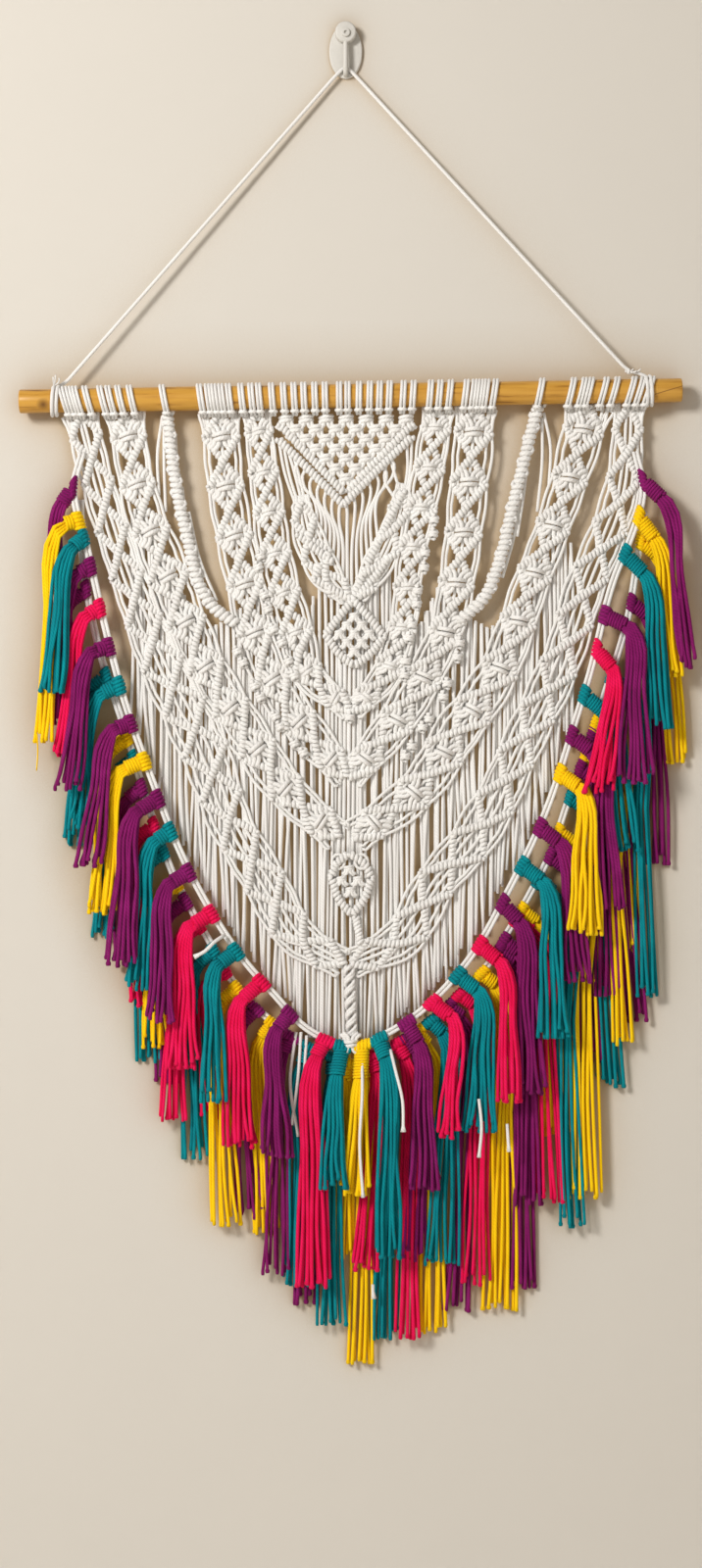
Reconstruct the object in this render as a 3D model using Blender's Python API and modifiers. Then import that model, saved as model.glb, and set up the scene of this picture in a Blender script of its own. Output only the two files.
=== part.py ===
"""A macrame wall hanging on a dowel rod, with its hanging cord and the wall hook that carries it.

+Z is up, X runs along the rod and -Y faces the room. The origin is the middle of the hook plate's
back, so the wall is the plane Y = 0. The tables are in millimetres, and all that is built in metres.
"""

import math

import bmesh
import bpy
import numpy as np
from mathutils import Vector

MM = 0.001
GAP = 0.3  # between pieces that touch
SHARP_EDGE = math.radians(40)  # edges steeper than this stay sharp where a piece is shaded smooth

# Wall hook
PLATE_WIDTH, PLATE_HEIGHT, PLATE_DEPTH = 40.4, 66.0, 4.0
KNOB_RADIUS, KNOB_Z, KNOB_FRONT = 12.9, 21.3, -16.0
POST_RADIUS, POST_FRONT = 5.2, -19.0
BAR_RADIUS = 3.0
BAR_ROUTE = [(-12.5, 14.0), (-13.8, -6.0), (-13.8, -20.0), (-11.5, -27.0), (-2.5, -29.0)]

# Rod
ROD_LENGTH, ROD_RADIUS, ROD_TILT = 800.0, 14.25, math.radians(0.98)
ROD_CENTRE = (6.0, -21.0, -420.8)

# Hanging cord: one cord from the left end of the rod over the hook to the right end
CORD_RADIUS = 2.25
WRAP_RADIUS, WRAP_TURNS, WRAP_PITCH, WRAP_POINTS = 17.8, 1.7, 5.2, 10
LEFT_LEG = [(-346.5, -21.0, 17.8), (-341.0, -20.6, 20.6), (-335.0, -20.2, 25.5)]
RIGHT_LEG = [(335.0, -20.2, 31.0), (344.0, -20.5, 23.4), (353.5, -20.8, 21.6), (362.0, -21.0, 17.8)]
CORD_TOP = [(-18.0, -7.8, -37.0), (-9.0, -7.5, -27.2), (-3.5, -7.4, -22.0), (0.0, -7.4, -20.4),
            (3.5, -7.4, -22.0), (9.0, -7.5, -27.2), (18.0, -7.8, -37.0)]
LEG_POINTS = 10

# Macrame web
WEB_Y = -14.0
LOOP_RADIUS, GROOVE_RADIUS, LOOP_BORE = 20.0, 18.8, 17.0
LOOP_SIDES = 6
BAR_STRAND, LOOSE_STRAND = 2.6, 2.4
BAND_THICKNESS, DIAMOND_THICKNESS = 4.9, 6.4
OVER_Y, OVER_RADIUS, BAR_GROOVE = -15.7, 3.9, 0.72  # the ridged bars that run over at the crossings
KNOT_REACH = 0.8  # how far a bar reaches across its band, as a share of the half width
BAR_INSET = 0.15  # how far a bar's ends stop short of the rim, as a share of its half
THICKNESS_STEP = 0.12  # each band is a little thicker than the last, where the strands cross over
RIM, EYE_SHARE, DIAMOND_SHARE = 2.4, 0.68, 0.74  # what the strands leave of a band's gaps
DIAMOND_HOLE = 0.3
# Each band: the crossings along it, and its stations (x, z, width)
BANDS = {
    "outer_left": (6, [(-322, -440, 38), (-294, -546, 36), (-261, -649, 40), (-219, -751, 52),
                          (-178, -832, 58), (-131, -953, 50), (-95, -1013, 52), (-59, -1074, 48),
                          (-2, -1108, 30)]),
    "second_left": (5, [(-268, -440, 41), (-248, -546, 41), (-211, -649, 50), (-168, -751, 43),
                           (-117, -832, 43), (-76, -892, 43), (-8, -955, 34)]),
    "third_left": (4, [(-153, -439, 44), (-143, -546, 43), (-122, -649, 43), (-112, -700, 41),
                          (-89, -763, 42), (-42, -832, 37), (2, -882, 28)]),
    "inner_left": (3, [(-108, -438, 31), (-95, -546, 35), (-78, -649, 39), (-62, -700, 42),
                          (-48, -751, 34), (6, -802, 20)]),
    "inner_right": (3, [(113, -434, 34), (96, -537, 36), (78, -623, 30), (69, -700, 30),
                           (47, -760, 34), (8, -802, 20)]),
    "third_right": (4, [(158, -433, 47), (148, -537, 45), (134, -648, 42), (118, -715, 39),
                           (89, -771, 44), (49, -832, 42), (4, -882, 28)]),
    "second_right": (5, [(296, -431, 50), (266, -537, 40), (224, -648, 41), (188, -748, 44),
                            (132, -832, 50), (91, -892, 48), (10, -955, 34)]),
    "outer_right": (6, [(343, -430, 30), (334, -537, 40), (292, -648, 44), (258, -748, 46),
                           (218, -832, 44), (157, -953, 52), (107, -1013, 46), (71, -1074, 48),
                           (6, -1108, 30)]),
}
SINNETS = {
    "sinnet_left": [(-216, -440), (-210, -495), (-202, -546), (-190, -597), (-177, -649),
                    (-160, -676), (-132, -696)],
    "sinnet_right": [(234, -430), (222, -474), (213, -511), (202, -555), (185, -624),
                     (168, -664), (136, -694)],
}
SINNET_RADIUS, SINNET_PITCH, SINNET_LOOPS = 6.2, 34.0, 13.0
# Triangle net under the rod
UNDER_ROD, NET_LEFT, NET_RIGHT, NET_TIP = 16.0, -86.0, 83.0, (-3.0, -548.0)
NET_HOLE, NET_PITCH_X, NET_PITCH_Z = 3.4, 24.0, 12.0
NET_FIRST_ROW_Z, NET_MIDDLE_X, NET_ROWS = -460.0, 0.5, 5
NET_SAG = 0.0006  # the rows rise toward their ends
NET_THICKNESS = 6.1
RIDGE_PITCH = 34.0
# Ridged bars of the middle part: from, to, radius
CENTRE_BARS = [((-84, -447), (-1, -556), 5.2), ((81, -447), (-6, -556), 5.2),
               ((-62, -583), (-12, -625), 4.6), ((-42, -636), (12, -668), 4.6),
               ((71, -531), (27, -622), 4.6), ((30, -618), (6, -669), 4.6)]
DIAMONDS = {"middle_diamond": [(9, -664), (-24, -709), (10, -748), (46, -710)],
            "lower_diamond": [(4, -962), (-18, -1003), (8, -1050), (31, -1004)]}
# Loose strands that hang under the net's bars, as routes of (x, z)
NET_STRANDS = [[(-76, -455), (-72, -520), (-62, -583)], [(-52, -488), (-38, -545), (-32, -640)],
               [(-26, -520), (-20, -560), (-18, -655)], [(74, -455), (78, -495), (68, -533)],
               [(50, -486), (44, -540), (34, -606)], [(26, -518), (28, -565), (22, -655)]]
SPINE = [(-3, -545), (9, -668), (10, -745), (6, -802), (3, -882), (1, -955), (8, -1045), (15, -1083),
         (4, -1112), (8, -1201)]
SPINE_SINNET = [(3, -1108), (8, -1199)]
SPINE_SINNET_Y, SPINE_SINNET_RADIUS, SPINE_SINNET_PITCH = -17.4, 5.8, 22.0
SPINE_END_Z = -1223.6

# Background fringe
FRINGE_BACK, FRINGE_FRONT = -5.8, -10.4
FRINGE_STRAND, FRINGE_PITCH, FRINGE_STRIP = 5.4, 11.6, 9.0
FRINGE_TOP = [(-252, -548), (-211, -655), (-168, -757), (-112, -765), (-60, -790), (5, -812),
              (60, -790), (112, -765), (176, -757), (224, -655), (262, -562)]
FRINGE_FOOT = [(-262, -800), (-234, -868), (-201, -952), (-176, -1004), (-119, -1092), (-86, -1129),
               (-47, -1170), (5, -1192), (48, -1177), (87, -1152), (149, -1086), (196, -1004),
               (239, -914), (278, -796)]
FRINGE_UNEVEN, FRINGE_ROOTS = 7.0, 1.2
FRINGE_TURNS = (2.4, 5.3, 4.1)  # what sets the uneven feet and roots

# Garlands: routes of (x, y, z), and the tassels on them
GARLAND_RADIUS, BACK_GARLAND_RADIUS = 3.4, 3.0
FRONT_GARLAND = [(-318, -20.2, -488), (-328, -26, -531), (-312, -29, -603), (-291, -29, -696),
                 (-267, -29, -788), (-234, -29, -883), (-201, -29, -968), (-176, -29, -1019),
                 (-119, -29, -1107), (-86, -28, -1144), (-47, -26, -1185), (-12, -24.9, -1203),
                 (8, -24.8, -1207), (22, -24.9, -1204), (48, -26, -1192), (87, -28, -1167),
                 (118, -29, -1138), (149, -29, -1101), (196, -29, -1019), (239, -29, -929),
                 (278, -29, -811), (293, -29, -762), (326, -29, -636), (343, -29, -595),
                 (359, -26, -534), (350, -20.5, -488)]
BACK_GARLAND_LEFT = [(-321, -15.5, -546), (-318, -15.5, -620), (-299, -15.5, -724), (-264, -15.5, -833),
                     (-236, -15.5, -925), (-206, -15.5, -1005), (-168, -15.5, -1075), (-129, -15.5, -1139),
                     (-89, -15.5, -1178), (-45, -14, -1208), (5.8, -14, -1227)]
BACK_GARLAND_RIGHT = [(10.6, -14.2, -1227.6), (63, -14.5, -1202), (105, -15.5, -1174), (139, -15.5, -1142),
                      (169, -15.5, -1113), (196, -15.5, -1070), (223, -15.5, -1023), (248, -15.5, -974),
                      (266, -15.5, -920), (293, -15.5, -843), (317, -15.5, -771), (342, -15.5, -687),
                      (350, -15.5, -640), (361, -15.5, -560)]
LAYERS = (-7.4, -18.0, -28.6, -39.2, -49.8)  # the tassels hang in layers, so none cuts another
HEAD_RADIUS, HEAD_OVERHANG = 7.4, 7.0
LOCKS, LOCK_ROOTS = 3, 4.0  # locks in a tassel, and how far apart they leave its head
LOCK_SPREAD = 0.46  # a lock's radius as a share of the spacing of the locks
LOCK_ROOT_RADIUS, LOCK_ROOT_DEPTH = 1.3, 4.5
LOCK_BEND = (7.0, 12.0)  # a lock bends over this far beyond the neck's end, and below it
LOCK_BEND_SPREAD, LOCK_BEND_RISE, LOCK_BEND_RADIUS = 0.66, 3.0, 0.7
LOCK_UNEVEN, LOCK_UNEVEN_TURN = 5.0, 5.1
LAYER_AT_NECK, LAYER_AT_BEND = 0.4, 0.6  # how much of the way to its layer a tassel has gone
HEAD_TAPER = 0.92
# Front tassels: colour, head x and z, neck end x and z, foot x, width, foot z, layer
FRONT_TASSELS = [
    ("purple", -326, -532, -341, -550, -350, 22, -645, 2),
    ("yellow", -320, -571, -336, -576, -362, 24, -843, 3),
    ("teal", -305, -590, -326, -603, -351, 32, -784, 4),
    ("purple", -300, -627, -319, -634, -345, 26, -825, 2),
    ("pink", -290, -678, -308, -685, -338, 26, -860, 3),
    ("purple", -280, -724, -299, -729, -332, 34, -901, 4),
    ("teal", -268, -771, -290, -779, -322, 24, -948, 2),
    ("purple", -255, -816, -273, -822, -309, 38, -994, 4),
    ("yellow", -240, -861, -264, -871, -294, 36, -1050, 3),
    ("purple", -225, -908, -246, -920, -268, 40, -1112, 4),
    ("teal", -207, -947, -225, -956, -250, 32, -1142, 3),
    ("purple", -185, -995, -207, -1007, -221, 36, -1180, 4),
    ("pink", -158, -1044, -182, -1058, -196, 44, -1237, 3),
    ("teal", -129, -1089, -149, -1104, -159, 32, -1275, 4),
    ("pink", -100, -1130, -121, -1146, -126, 42, -1332, 3),
    ("purple", -65, -1166, -80, -1183, -84, 40, -1341, 4),
    ("pink", -22, -1197, -34, -1216, -39, 42, -1499, 3),
    ("teal", -5, -1206, -10, -1239, -14, 30, -1379, 4),
    ("yellow", 19, -1205, 18, -1243, 10, 34, -1388, 3),
    ("teal", 40, -1196, 47, -1218, 51, 36, -1462, 4),
    ("purple", 74, -1176, 86, -1200, 95, 42, -1382, 3),
    ("pink", 103, -1153, 124, -1168, 123, 30, -1318, 4),
    ("teal", 134, -1120, 155, -1136, 162, 46, -1312, 3),
    ("pink", 161, -1082, 182, -1101, 198, 32, -1276, 4),
    ("purple", 188, -1033, 206, -1053, 223, 36, -1267, 3),
    ("teal", 212, -987, 233, -1004, 250, 40, -1198, 4),
    ("purple", 233, -942, 254, -958, 281, 34, -1133, 3),
    ("yellow", 257, -877, 278, -892, 287, 40, -1076, 4),
    ("purple", 272, -831, 293, -848, 317, 42, -1044, 3),
    ("teal", 287, -783, 311, -803, 338, 34, -976, 2),
    ("pink", 303, -728, 312, -744, 298, 30, -880, 4),
    ("purple", 313, -686, 335, -698, 349, 44, -893, 4),
    ("teal", 336, -612, 357, -634, 378, 34, -827, 3),
    ("yellow", 351, -566, 371, -592, 394, 26, -764, 2),
    ("purple", 362, -522, 379, -544, 410, 18, -754, 3),
]
# Back tassels: colour, head x on the garland, foot x, width, foot z, layer
BACK_TASSELS_LEFT = [
    ("teal", -288, -328, 26, -968, 0),
    ("teal", -256, -294, 32, -1080, 0),
    ("pink", -232, -249, 26, -1166, 1),
    ("teal", -220, -238, 24, -1231, 0),
    ("yellow", -202, -226, 28, -1213, 1),
    ("purple", -190, -210, 26, -1257, 0),
    ("pink", -176, -206, 26, -1301, 1),
    ("teal", -158, -178, 30, -1348, 0),
    ("yellow", -130, -142, 34, -1431, 1),
    ("purple", -104, -114, 28, -1421, 0),
    ("purple", -66, -82, 32, -1487, 1),
    ("purple", -34, -47, 32, -1526, 0),
    ("teal", -14, -17, 30, -1551, 1),
]
BACK_TASSELS_RIGHT = [
    ("yellow", 18, 16, 30, -1597, 0),
    ("pink", 33, 24, 30, -1482, 1),
    ("teal", 46, 47, 28, -1568, 0),
    ("pink", 62, 77, 28, -1565, 1),
    ("yellow", 84, 106, 28, -1559, 0),
    ("teal", 102, 118, 34, -1478, 1),
    ("purple", 122, 136, 28, -1533, 0),
    ("pink", 138, 157, 36, -1500, 1),
    ("yellow", 164, 187, 38, -1533, 0),
    ("purple", 190, 222, 32, -1404, 1),
    ("yellow", 212, 252, 36, -1321, 0),
    ("teal", 232, 275, 30, -1431, 1),
    ("purple", 246, 290, 34, -1231, 0),
    ("yellow", 256, 300, 34, -1395, 1),
    ("teal", 270, 322, 30, -1261, 0),
    ("purple", 282, 320, 34, -1151, 1),
    ("yellow", 302, 345, 32, -1097, 0),
    ("teal", 320, 364, 26, -1151, 1),
    ("purple", 345, 379, 30, -991, 0),
    ("yellow", 356, 400, 22, -869, 0),
]
BACK_NECK = (17.0, 13.0)  # how far a back tassel's neck goes out from the middle, and down
BACK_NECK_DROP, BACK_STEEP_FROM = 8.0, 120.0  # near the middle the necks point down
BACK_ROOT_RADIUS, BACK_HEAD_SHARE, BACK_NECK_LEAN = 1.8, 0.74, 0.23

COLOURS = {
    "cotton": (0.82, 0.79, 0.72),
    "wood": (0.62, 0.34, 0.12),
    "hook": (0.62, 0.60, 0.56),
    "purple": (0.26, 0.015, 0.20),
    "yellow": (0.95, 0.60, 0.005),
    "teal": (0.0, 0.27, 0.32),
    "pink": (0.80, 0.01, 0.10),
}
ROUGHNESS = {"wood": 0.35, "hook": 0.4}


def start_scene():
    for item in list(bpy.context.scene.objects):
        bpy.data.objects.remove(item, do_unlink=True)
    folders = {}
    for name in ("macrame_wall_hanging", "cutters"):
        folders[name] = bpy.data.collections.new(name)
        bpy.context.scene.collection.children.link(folders[name])
    return folders["macrame_wall_hanging"], folders["cutters"]


def make_materials():
    made = {}
    for name, colour in COLOURS.items():
        made[name] = bpy.data.materials.new(name)
        made[name].use_nodes = True
        shader = made[name].node_tree.nodes["Principled BSDF"]
        shader.inputs["Base Color"].default_value = (*colour, 1.0)
        shader.inputs["Roughness"].default_value = ROUGHNESS.get(name, 0.85)
        shader.inputs["Metallic"].default_value = 0.0
    return made


def smooth(stations, count):
    """Evenly spaced points of a smooth curve through the stations, whatever their columns are."""
    rows = np.array(stations, float)
    at = np.concatenate([[0], np.cumsum(np.linalg.norm(np.diff(rows, axis=0), axis=1))])
    slope = np.gradient(rows, at, axis=0)
    fine = np.linspace(0, at[-1], 40 * len(rows))
    i = np.clip(np.searchsorted(at, fine, side="right") - 1, 0, len(at) - 2)
    span = (at[i + 1] - at[i])[:, None]
    t = (fine - at[i])[:, None] / span
    line = ((2 * t**3 - 3 * t**2 + 1) * rows[i] + (t**3 - 2 * t**2 + t) * span * slope[i]
            + (3 * t**2 - 2 * t**3) * rows[i + 1] + (t**3 - t**2) * span * slope[i + 1])
    along = np.concatenate([[0], np.cumsum(np.linalg.norm(np.diff(line, axis=0), axis=1))])
    even = np.linspace(0, along[-1], count)
    return np.stack([np.interp(even, along, column) for column in line.T], axis=1)


def rod_z(x):
    return ROD_CENTRE[2] + (x - ROD_CENTRE[0]) * math.tan(ROD_TILT)


def place(name, mesh, folder, material=None):
    item = bpy.data.objects.new(name, mesh)
    folder.objects.link(item)
    if material:
        mesh.materials.clear()
        mesh.materials.append(material)
    return item


def shade_round(mesh):
    mesh.shade_smooth()
    mesh.set_sharp_from_angle(angle=SHARP_EDGE)


def tubes(name, routes, folder, sides=4, material=None):
    """One object of closed tubes. A route is a list of ((x, y, z), radius) in millimetres."""
    curve = bpy.data.curves.new(name, "CURVE")
    curve.dimensions = "3D"
    curve.use_fill_caps = True
    curve.twist_mode = "MINIMUM"
    profile = None
    if sides == 3:
        profile = bpy.data.objects.new(name + "_profile", triangle_profile())
        folder.objects.link(profile)
        curve.bevel_mode = "OBJECT"
        curve.bevel_object = profile
    else:
        curve.bevel_depth = MM
        curve.bevel_resolution = sides // 2 - 2
    for route in routes:
        spline = curve.splines.new("POLY")
        spline.points.add(len(route) - 1)
        for point, (place_mm, radius) in zip(spline.points, route):
            point.co = (*(Vector(place_mm) * MM), 1.0)
            point.radius = radius
    guide = bpy.data.objects.new(name + "_route", curve)
    folder.objects.link(guide)
    mesh = bpy.data.meshes.new_from_object(
        guide.evaluated_get(bpy.context.evaluated_depsgraph_get()))
    shell = bmesh.new()
    shell.from_mesh(mesh)
    bmesh.ops.remove_doubles(shell, verts=shell.verts, dist=0.00001)
    bmesh.ops.recalc_face_normals(shell, faces=shell.faces)
    shell.to_mesh(mesh)
    shell.free()
    mesh.name = name
    bpy.data.objects.remove(guide)
    if profile:
        bpy.data.objects.remove(profile)
    if sides > 4:
        shade_round(mesh)
    return place(name, mesh, folder, material)


def triangle_profile():
    profile = bpy.data.curves.new("triangle", "CURVE")
    profile.dimensions = "2D"
    corner = profile.splines.new("POLY")
    corner.points.add(2)
    corner.use_cyclic_u = True
    for i, point in enumerate(corner.points):
        turn = math.radians(90 + 120 * i)
        point.co = (MM * math.cos(turn), MM * math.sin(turn), 0.0, 1.0)
    return profile


def as_cutter(item):
    item.hide_render = True
    item.display_type = "WIRE"
    return item


def combine(item, operation, other, solver="EXACT"):
    as_cutter(other)
    change = item.modifiers.new(operation.lower() + "_" + other.name, "BOOLEAN")
    change.operation = operation
    change.solver = solver
    change.object = other


def flat_solid(name, outlines, front, back, folder, material=None):
    """Closed outlines of (x, z), the first the rim and the rest holes, between two depths."""
    curve = bpy.data.curves.new(name, "CURVE")
    curve.dimensions = "2D"
    curve.fill_mode = "BOTH"
    curve.extrude = (back - front) / 2 * MM
    for outline in outlines:
        spline = curve.splines.new("POLY")
        spline.points.add(len(outline) - 1)
        spline.use_cyclic_u = True
        for point, (x, z) in zip(spline.points, outline):
            point.co = (x * MM, z * MM, 0.0, 1.0)
    guide = bpy.data.objects.new(name + "_outline", curve)
    guide.location = (0.0, (front + back) / 2 * MM, 0.0)
    guide.rotation_euler = (math.radians(90), 0.0, 0.0)
    folder.objects.link(guide)
    bpy.context.view_layer.update()
    mesh = bpy.data.meshes.new_from_object(
        guide.evaluated_get(bpy.context.evaluated_depsgraph_get()))
    mesh.transform(guide.matrix_world)
    shell = bmesh.new()
    shell.from_mesh(mesh)
    bmesh.ops.remove_doubles(shell, verts=shell.verts, dist=0.00001)
    bmesh.ops.recalc_face_normals(shell, faces=shell.faces)
    shell.to_mesh(mesh)
    shell.free()
    bpy.data.objects.remove(guide)
    return place(name, mesh, folder, material)


def drum(name, radius, back, front, z, sides, folder, width_scale=1.0, front_share=1.0, material=None):
    """A round block whose axis is Y, from its back to its front depth."""
    shell = bmesh.new()
    bmesh.ops.create_cone(shell, cap_ends=True, segments=sides, radius1=radius * MM,
                          radius2=radius * front_share * MM, depth=(back - front) * MM)
    mesh = bpy.data.meshes.new(name)
    shell.to_mesh(mesh)
    shell.free()
    item = place(name, mesh, folder, material)
    for corner in mesh.vertices:
        x, y, up = corner.co
        corner.co = (x * width_scale, -up + (back + front) / 2 * MM, y + z * MM)
    shade_round(mesh)
    return item


def make_hook(folder, cutters, material):
    hook = drum("wall_hook", PLATE_HEIGHT / 2, 0.0, -PLATE_DEPTH, 0.0, 24, folder,
                PLATE_WIDTH / PLATE_HEIGHT, 0.94, material)
    combine(hook, "UNION", drum("knob", KNOB_RADIUS, -1.5, KNOB_FRONT, KNOB_Z, 18, cutters,
                                front_share=0.93))
    combine(hook, "UNION", drum("post", POST_RADIUS, -5.0, POST_FRONT, KNOB_Z - 1.5, 12, cutters))
    bar = [((0.0, y, z), BAR_RADIUS) for y, z in smooth(BAR_ROUTE, 7)]
    combine(hook, "UNION", tubes("bar", [bar], cutters, sides=8))


def rod_cylinder(name, radius, length, sides, folder, material=None):
    mesh = bpy.data.meshes.new(name)
    shell = bmesh.new()
    bmesh.ops.create_cone(shell, cap_ends=True, segments=sides, radius1=radius * MM,
                          radius2=radius * MM, depth=length * MM)
    shell.to_mesh(mesh)
    shell.free()
    shade_round(mesh)
    item = place(name, mesh, folder, material)
    item.location = Vector(ROD_CENTRE) * MM
    item.rotation_euler = (0.0, math.radians(90) - ROD_TILT, 0.0)
    return item


def make_rod(folder, material):
    rod = rod_cylinder("rod", ROD_RADIUS, ROD_LENGTH, 24, folder, material)
    rim = rod.modifiers.new("worn_rim", "BEVEL")
    rim.width = 1.2 * MM
    rim.segments = 1
    rim.limit_method = "ANGLE"
    rim.angle_limit = math.radians(60)


def wrap(start_x, toward):
    """The turns round the rod: down its front from the top, then out along it."""
    turns = []
    for i in range(int(WRAP_TURNS * WRAP_POINTS) + 1):
        turn = 2 * math.pi * i / WRAP_POINTS
        x = start_x + toward * WRAP_PITCH * i / WRAP_POINTS
        turns.append((x, ROD_CENTRE[1] - WRAP_RADIUS * math.sin(turn),
                      rod_z(x) + WRAP_RADIUS * math.cos(turn)))
    return turns


def straight(start, end, count):
    return [tuple(Vector(start).lerp(Vector(end), i / (count + 1))) for i in range(1, count + 1)]


def cord_route():
    left = [(x, y, rod_z(x) + above) for x, y, above in LEFT_LEG]
    right = [(x, y, rod_z(x) + above) for x, y, above in RIGHT_LEG]
    return (wrap(left[0][0], -1)[:0:-1] + left + straight(left[-1], CORD_TOP[0], LEG_POINTS)
            + CORD_TOP + straight(CORD_TOP[-1], right[0], LEG_POINTS) + right
            + wrap(right[-1][0], 1)[1:])


def make_cord(folder, material):
    tubes("hanging_cord", [[(point, CORD_RADIUS) for point in cord_route()]], folder, 8, material)


def shrunk(corners, share):
    """The corners drawn in toward their middle, which leaves the strands round a gap."""
    middle = np.mean(corners, axis=0)
    return [tuple(middle + (corner - middle) * share) for corner in corners]


def band_outlines(crossings, stations):
    """One band: its rim, its gaps, and the routes of the bars that run over at its crossings.

    Each crossing has a bar from the upper right to the lower left and a plain one under it, and a
    loose strand bulges on either side.
    """
    line = smooth(stations, 4 * crossings + 1)
    ahead = np.gradient(line[:, :2], axis=0)
    ahead /= np.linalg.norm(ahead, axis=1)[:, None]

    def corner(i, across, beyond=0.0):
        (x, z, width), (dx, dz) = line[i], ahead[i]
        reach = across * (width / 2 + beyond)
        return np.array([x - dz * reach, z + dx * reach])

    inner = 1.0 if stations[0][0] < 0 else -1.0  # the side that bends in sharply at the foot
    left_rim, right_rim, gaps, bars = [], [], [], []
    above = None
    for k in range(crossings):
        top, level, foot = 4 * k, 4 * k + 2, 4 * k + 4
        left, right = corner(top, -KNOT_REACH), corner(top, KNOT_REACH)
        next_left, next_right = corner(foot, -KNOT_REACH), corner(foot, KNOT_REACH)
        middle = corner(level, 0.0)
        left_rim += [corner(top, -KNOT_REACH, RIM), corner(level, -1.0, RIM / 2)]
        right_rim += [corner(top, KNOT_REACH, RIM), corner(level, 1.0, RIM / 2)]
        at_foot = k == crossings - 1
        if not at_foot or inner > 0:
            gaps.append(shrunk([left, next_left, middle], EYE_SHARE))
        if not at_foot or inner < 0:
            gaps.append(shrunk([right, middle, next_right], EYE_SHARE))
        if above is not None:
            gaps.append(shrunk([above, left, middle, right], DIAMOND_SHARE))
        if k:  # the strands come straight off the rod before the first ridged bar
            bars.append([right + (middle - right) * BAR_INSET, middle,
                         next_left + (middle - next_left) * BAR_INSET])
        above = middle
    last = 4 * crossings
    left_rim.append(corner(last, -KNOT_REACH, RIM))
    right_rim.append(corner(last, KNOT_REACH, RIM))
    rim = [tuple(point) for point in left_rim + right_rim[::-1]]
    return [rim] + gaps, bars


def ridged(line, depth, radius):
    """A bar whose coils stand up as ridges, along a line of (x, z)."""
    return [((x, depth, z), radius * (1.0 if i % 2 else BAR_GROOVE)) for i, (x, z) in enumerate(line)]


def ridged_along(points, depth, radius, pitch):
    """A ridged bar or sinnet that follows a route of (x, z)."""
    length = sum(math.dist(a, b) for a, b in zip(points, points[1:]))
    return ridged(smooth(points, 2 * round(length / pitch) + 1), depth, radius)


def sleeve(left, right, loops):
    """A row of lark's-head loops as a ridged sleeve round the rod."""
    count = 2 * loops + 1
    route = []
    for i in range(count):
        x = left + (right - left) * i / (count - 1)
        route.append(((x, ROD_CENTRE[1], rod_z(x)), LOOP_RADIUS if i % 2 else GROOVE_RADIUS))
    return route


def net_holes():
    holes = []
    for row in range(NET_ROWS):
        count = NET_ROWS - row
        for column in range(count):
            x = NET_MIDDLE_X + (column - (count - 1) / 2) * NET_PITCH_X
            z = NET_FIRST_ROW_Z - row * NET_PITCH_Z + NET_SAG * x * x
            holes.append([(x - NET_HOLE, z), (x, z - NET_HOLE), (x + NET_HOLE, z), (x, z + NET_HOLE)])
    return holes


def sheet(name, outlines, thickness, folder, material=None):
    return flat_solid(name, outlines, WEB_Y - thickness / 2, WEB_Y + thickness / 2, folder, material)


def make_web(folder, cutters, material):
    sleeves = []
    for _, stations in BANDS.values():
        x, _, width = stations[0]
        half = width / 2 + 1.0
        sleeves.append(sleeve(x - half, x + half, 1))
    for (x, _), *_ in SINNETS.values():
        sleeves.append(sleeve(x - SINNET_LOOPS / 2, x + SINNET_LOOPS / 2, 1))
    sleeves.append(sleeve(NET_LEFT, NET_RIGHT, 3))

    rim = [(NET_LEFT, rod_z(NET_LEFT) - UNDER_ROD), NET_TIP, (NET_RIGHT, rod_z(NET_RIGHT) - UNDER_ROD)]
    web = sheet("macrame_web", [rim] + net_holes(), NET_THICKNESS, folder, material)
    over = []
    for i, (key, (crossings, stations)) in enumerate(BANDS.items()):
        outlines, bars = band_outlines(crossings, stations)
        over += [ridged(bar, OVER_Y, OVER_RADIUS) for bar in bars]
        thickness = BAND_THICKNESS + THICKNESS_STEP * i
        combine(web, "UNION", sheet(key, outlines, thickness, cutters), "MANIFOLD")
    combine(web, "UNION", tubes("crossing_bars", over, cutters, 4), "MANIFOLD")
    sinnets = [ridged_along(route, WEB_Y, SINNET_RADIUS, SINNET_PITCH) for route in SINNETS.values()]
    combine(web, "UNION", tubes("sinnets", sinnets, cutters, 4), "MANIFOLD")
    combine(web, "UNION", tubes("rod_loops", sleeves, cutters, LOOP_SIDES), "MANIFOLD")
    for name, outline in DIAMONDS.items():
        hole = shrunk(np.array(outline, float), DIAMOND_HOLE)
        combine(web, "UNION", sheet(name, [outline, hole[::-1]], DIAMOND_THICKNESS, cutters), "MANIFOLD")
    for i, (start, end, radius) in enumerate(CENTRE_BARS):
        route = ridged_along([start, end], OVER_Y, radius, RIDGE_PITCH)
        combine(web, "UNION", tubes(f"bar_{i}", [route], cutters, 4), "MANIFOLD")
    hanging = [[((x, WEB_Y, z), LOOSE_STRAND) for x, z in smooth(route, 4)] for route in NET_STRANDS]
    combine(web, "UNION", tubes("net_strands", hanging, cutters, 3), "MANIFOLD")
    spine = [((x, WEB_Y, z), BAR_STRAND) for x, z in SPINE] + [((8, WEB_Y, SPINE_END_Z), BAR_STRAND)]
    combine(web, "UNION", tubes("spine", [spine], cutters, 3), "MANIFOLD")
    sinnet = ridged_along(SPINE_SINNET, SPINE_SINNET_Y, SPINE_SINNET_RADIUS, SPINE_SINNET_PITCH)
    combine(web, "UNION", tubes("spine_sinnet", [sinnet], cutters, 4), "MANIFOLD")
    clearance = rod_cylinder("rod_clearance", LOOP_BORE, ROD_LENGTH, LOOP_SIDES, cutters)
    combine(web, "DIFFERENCE", clearance, "MANIFOLD")


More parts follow.
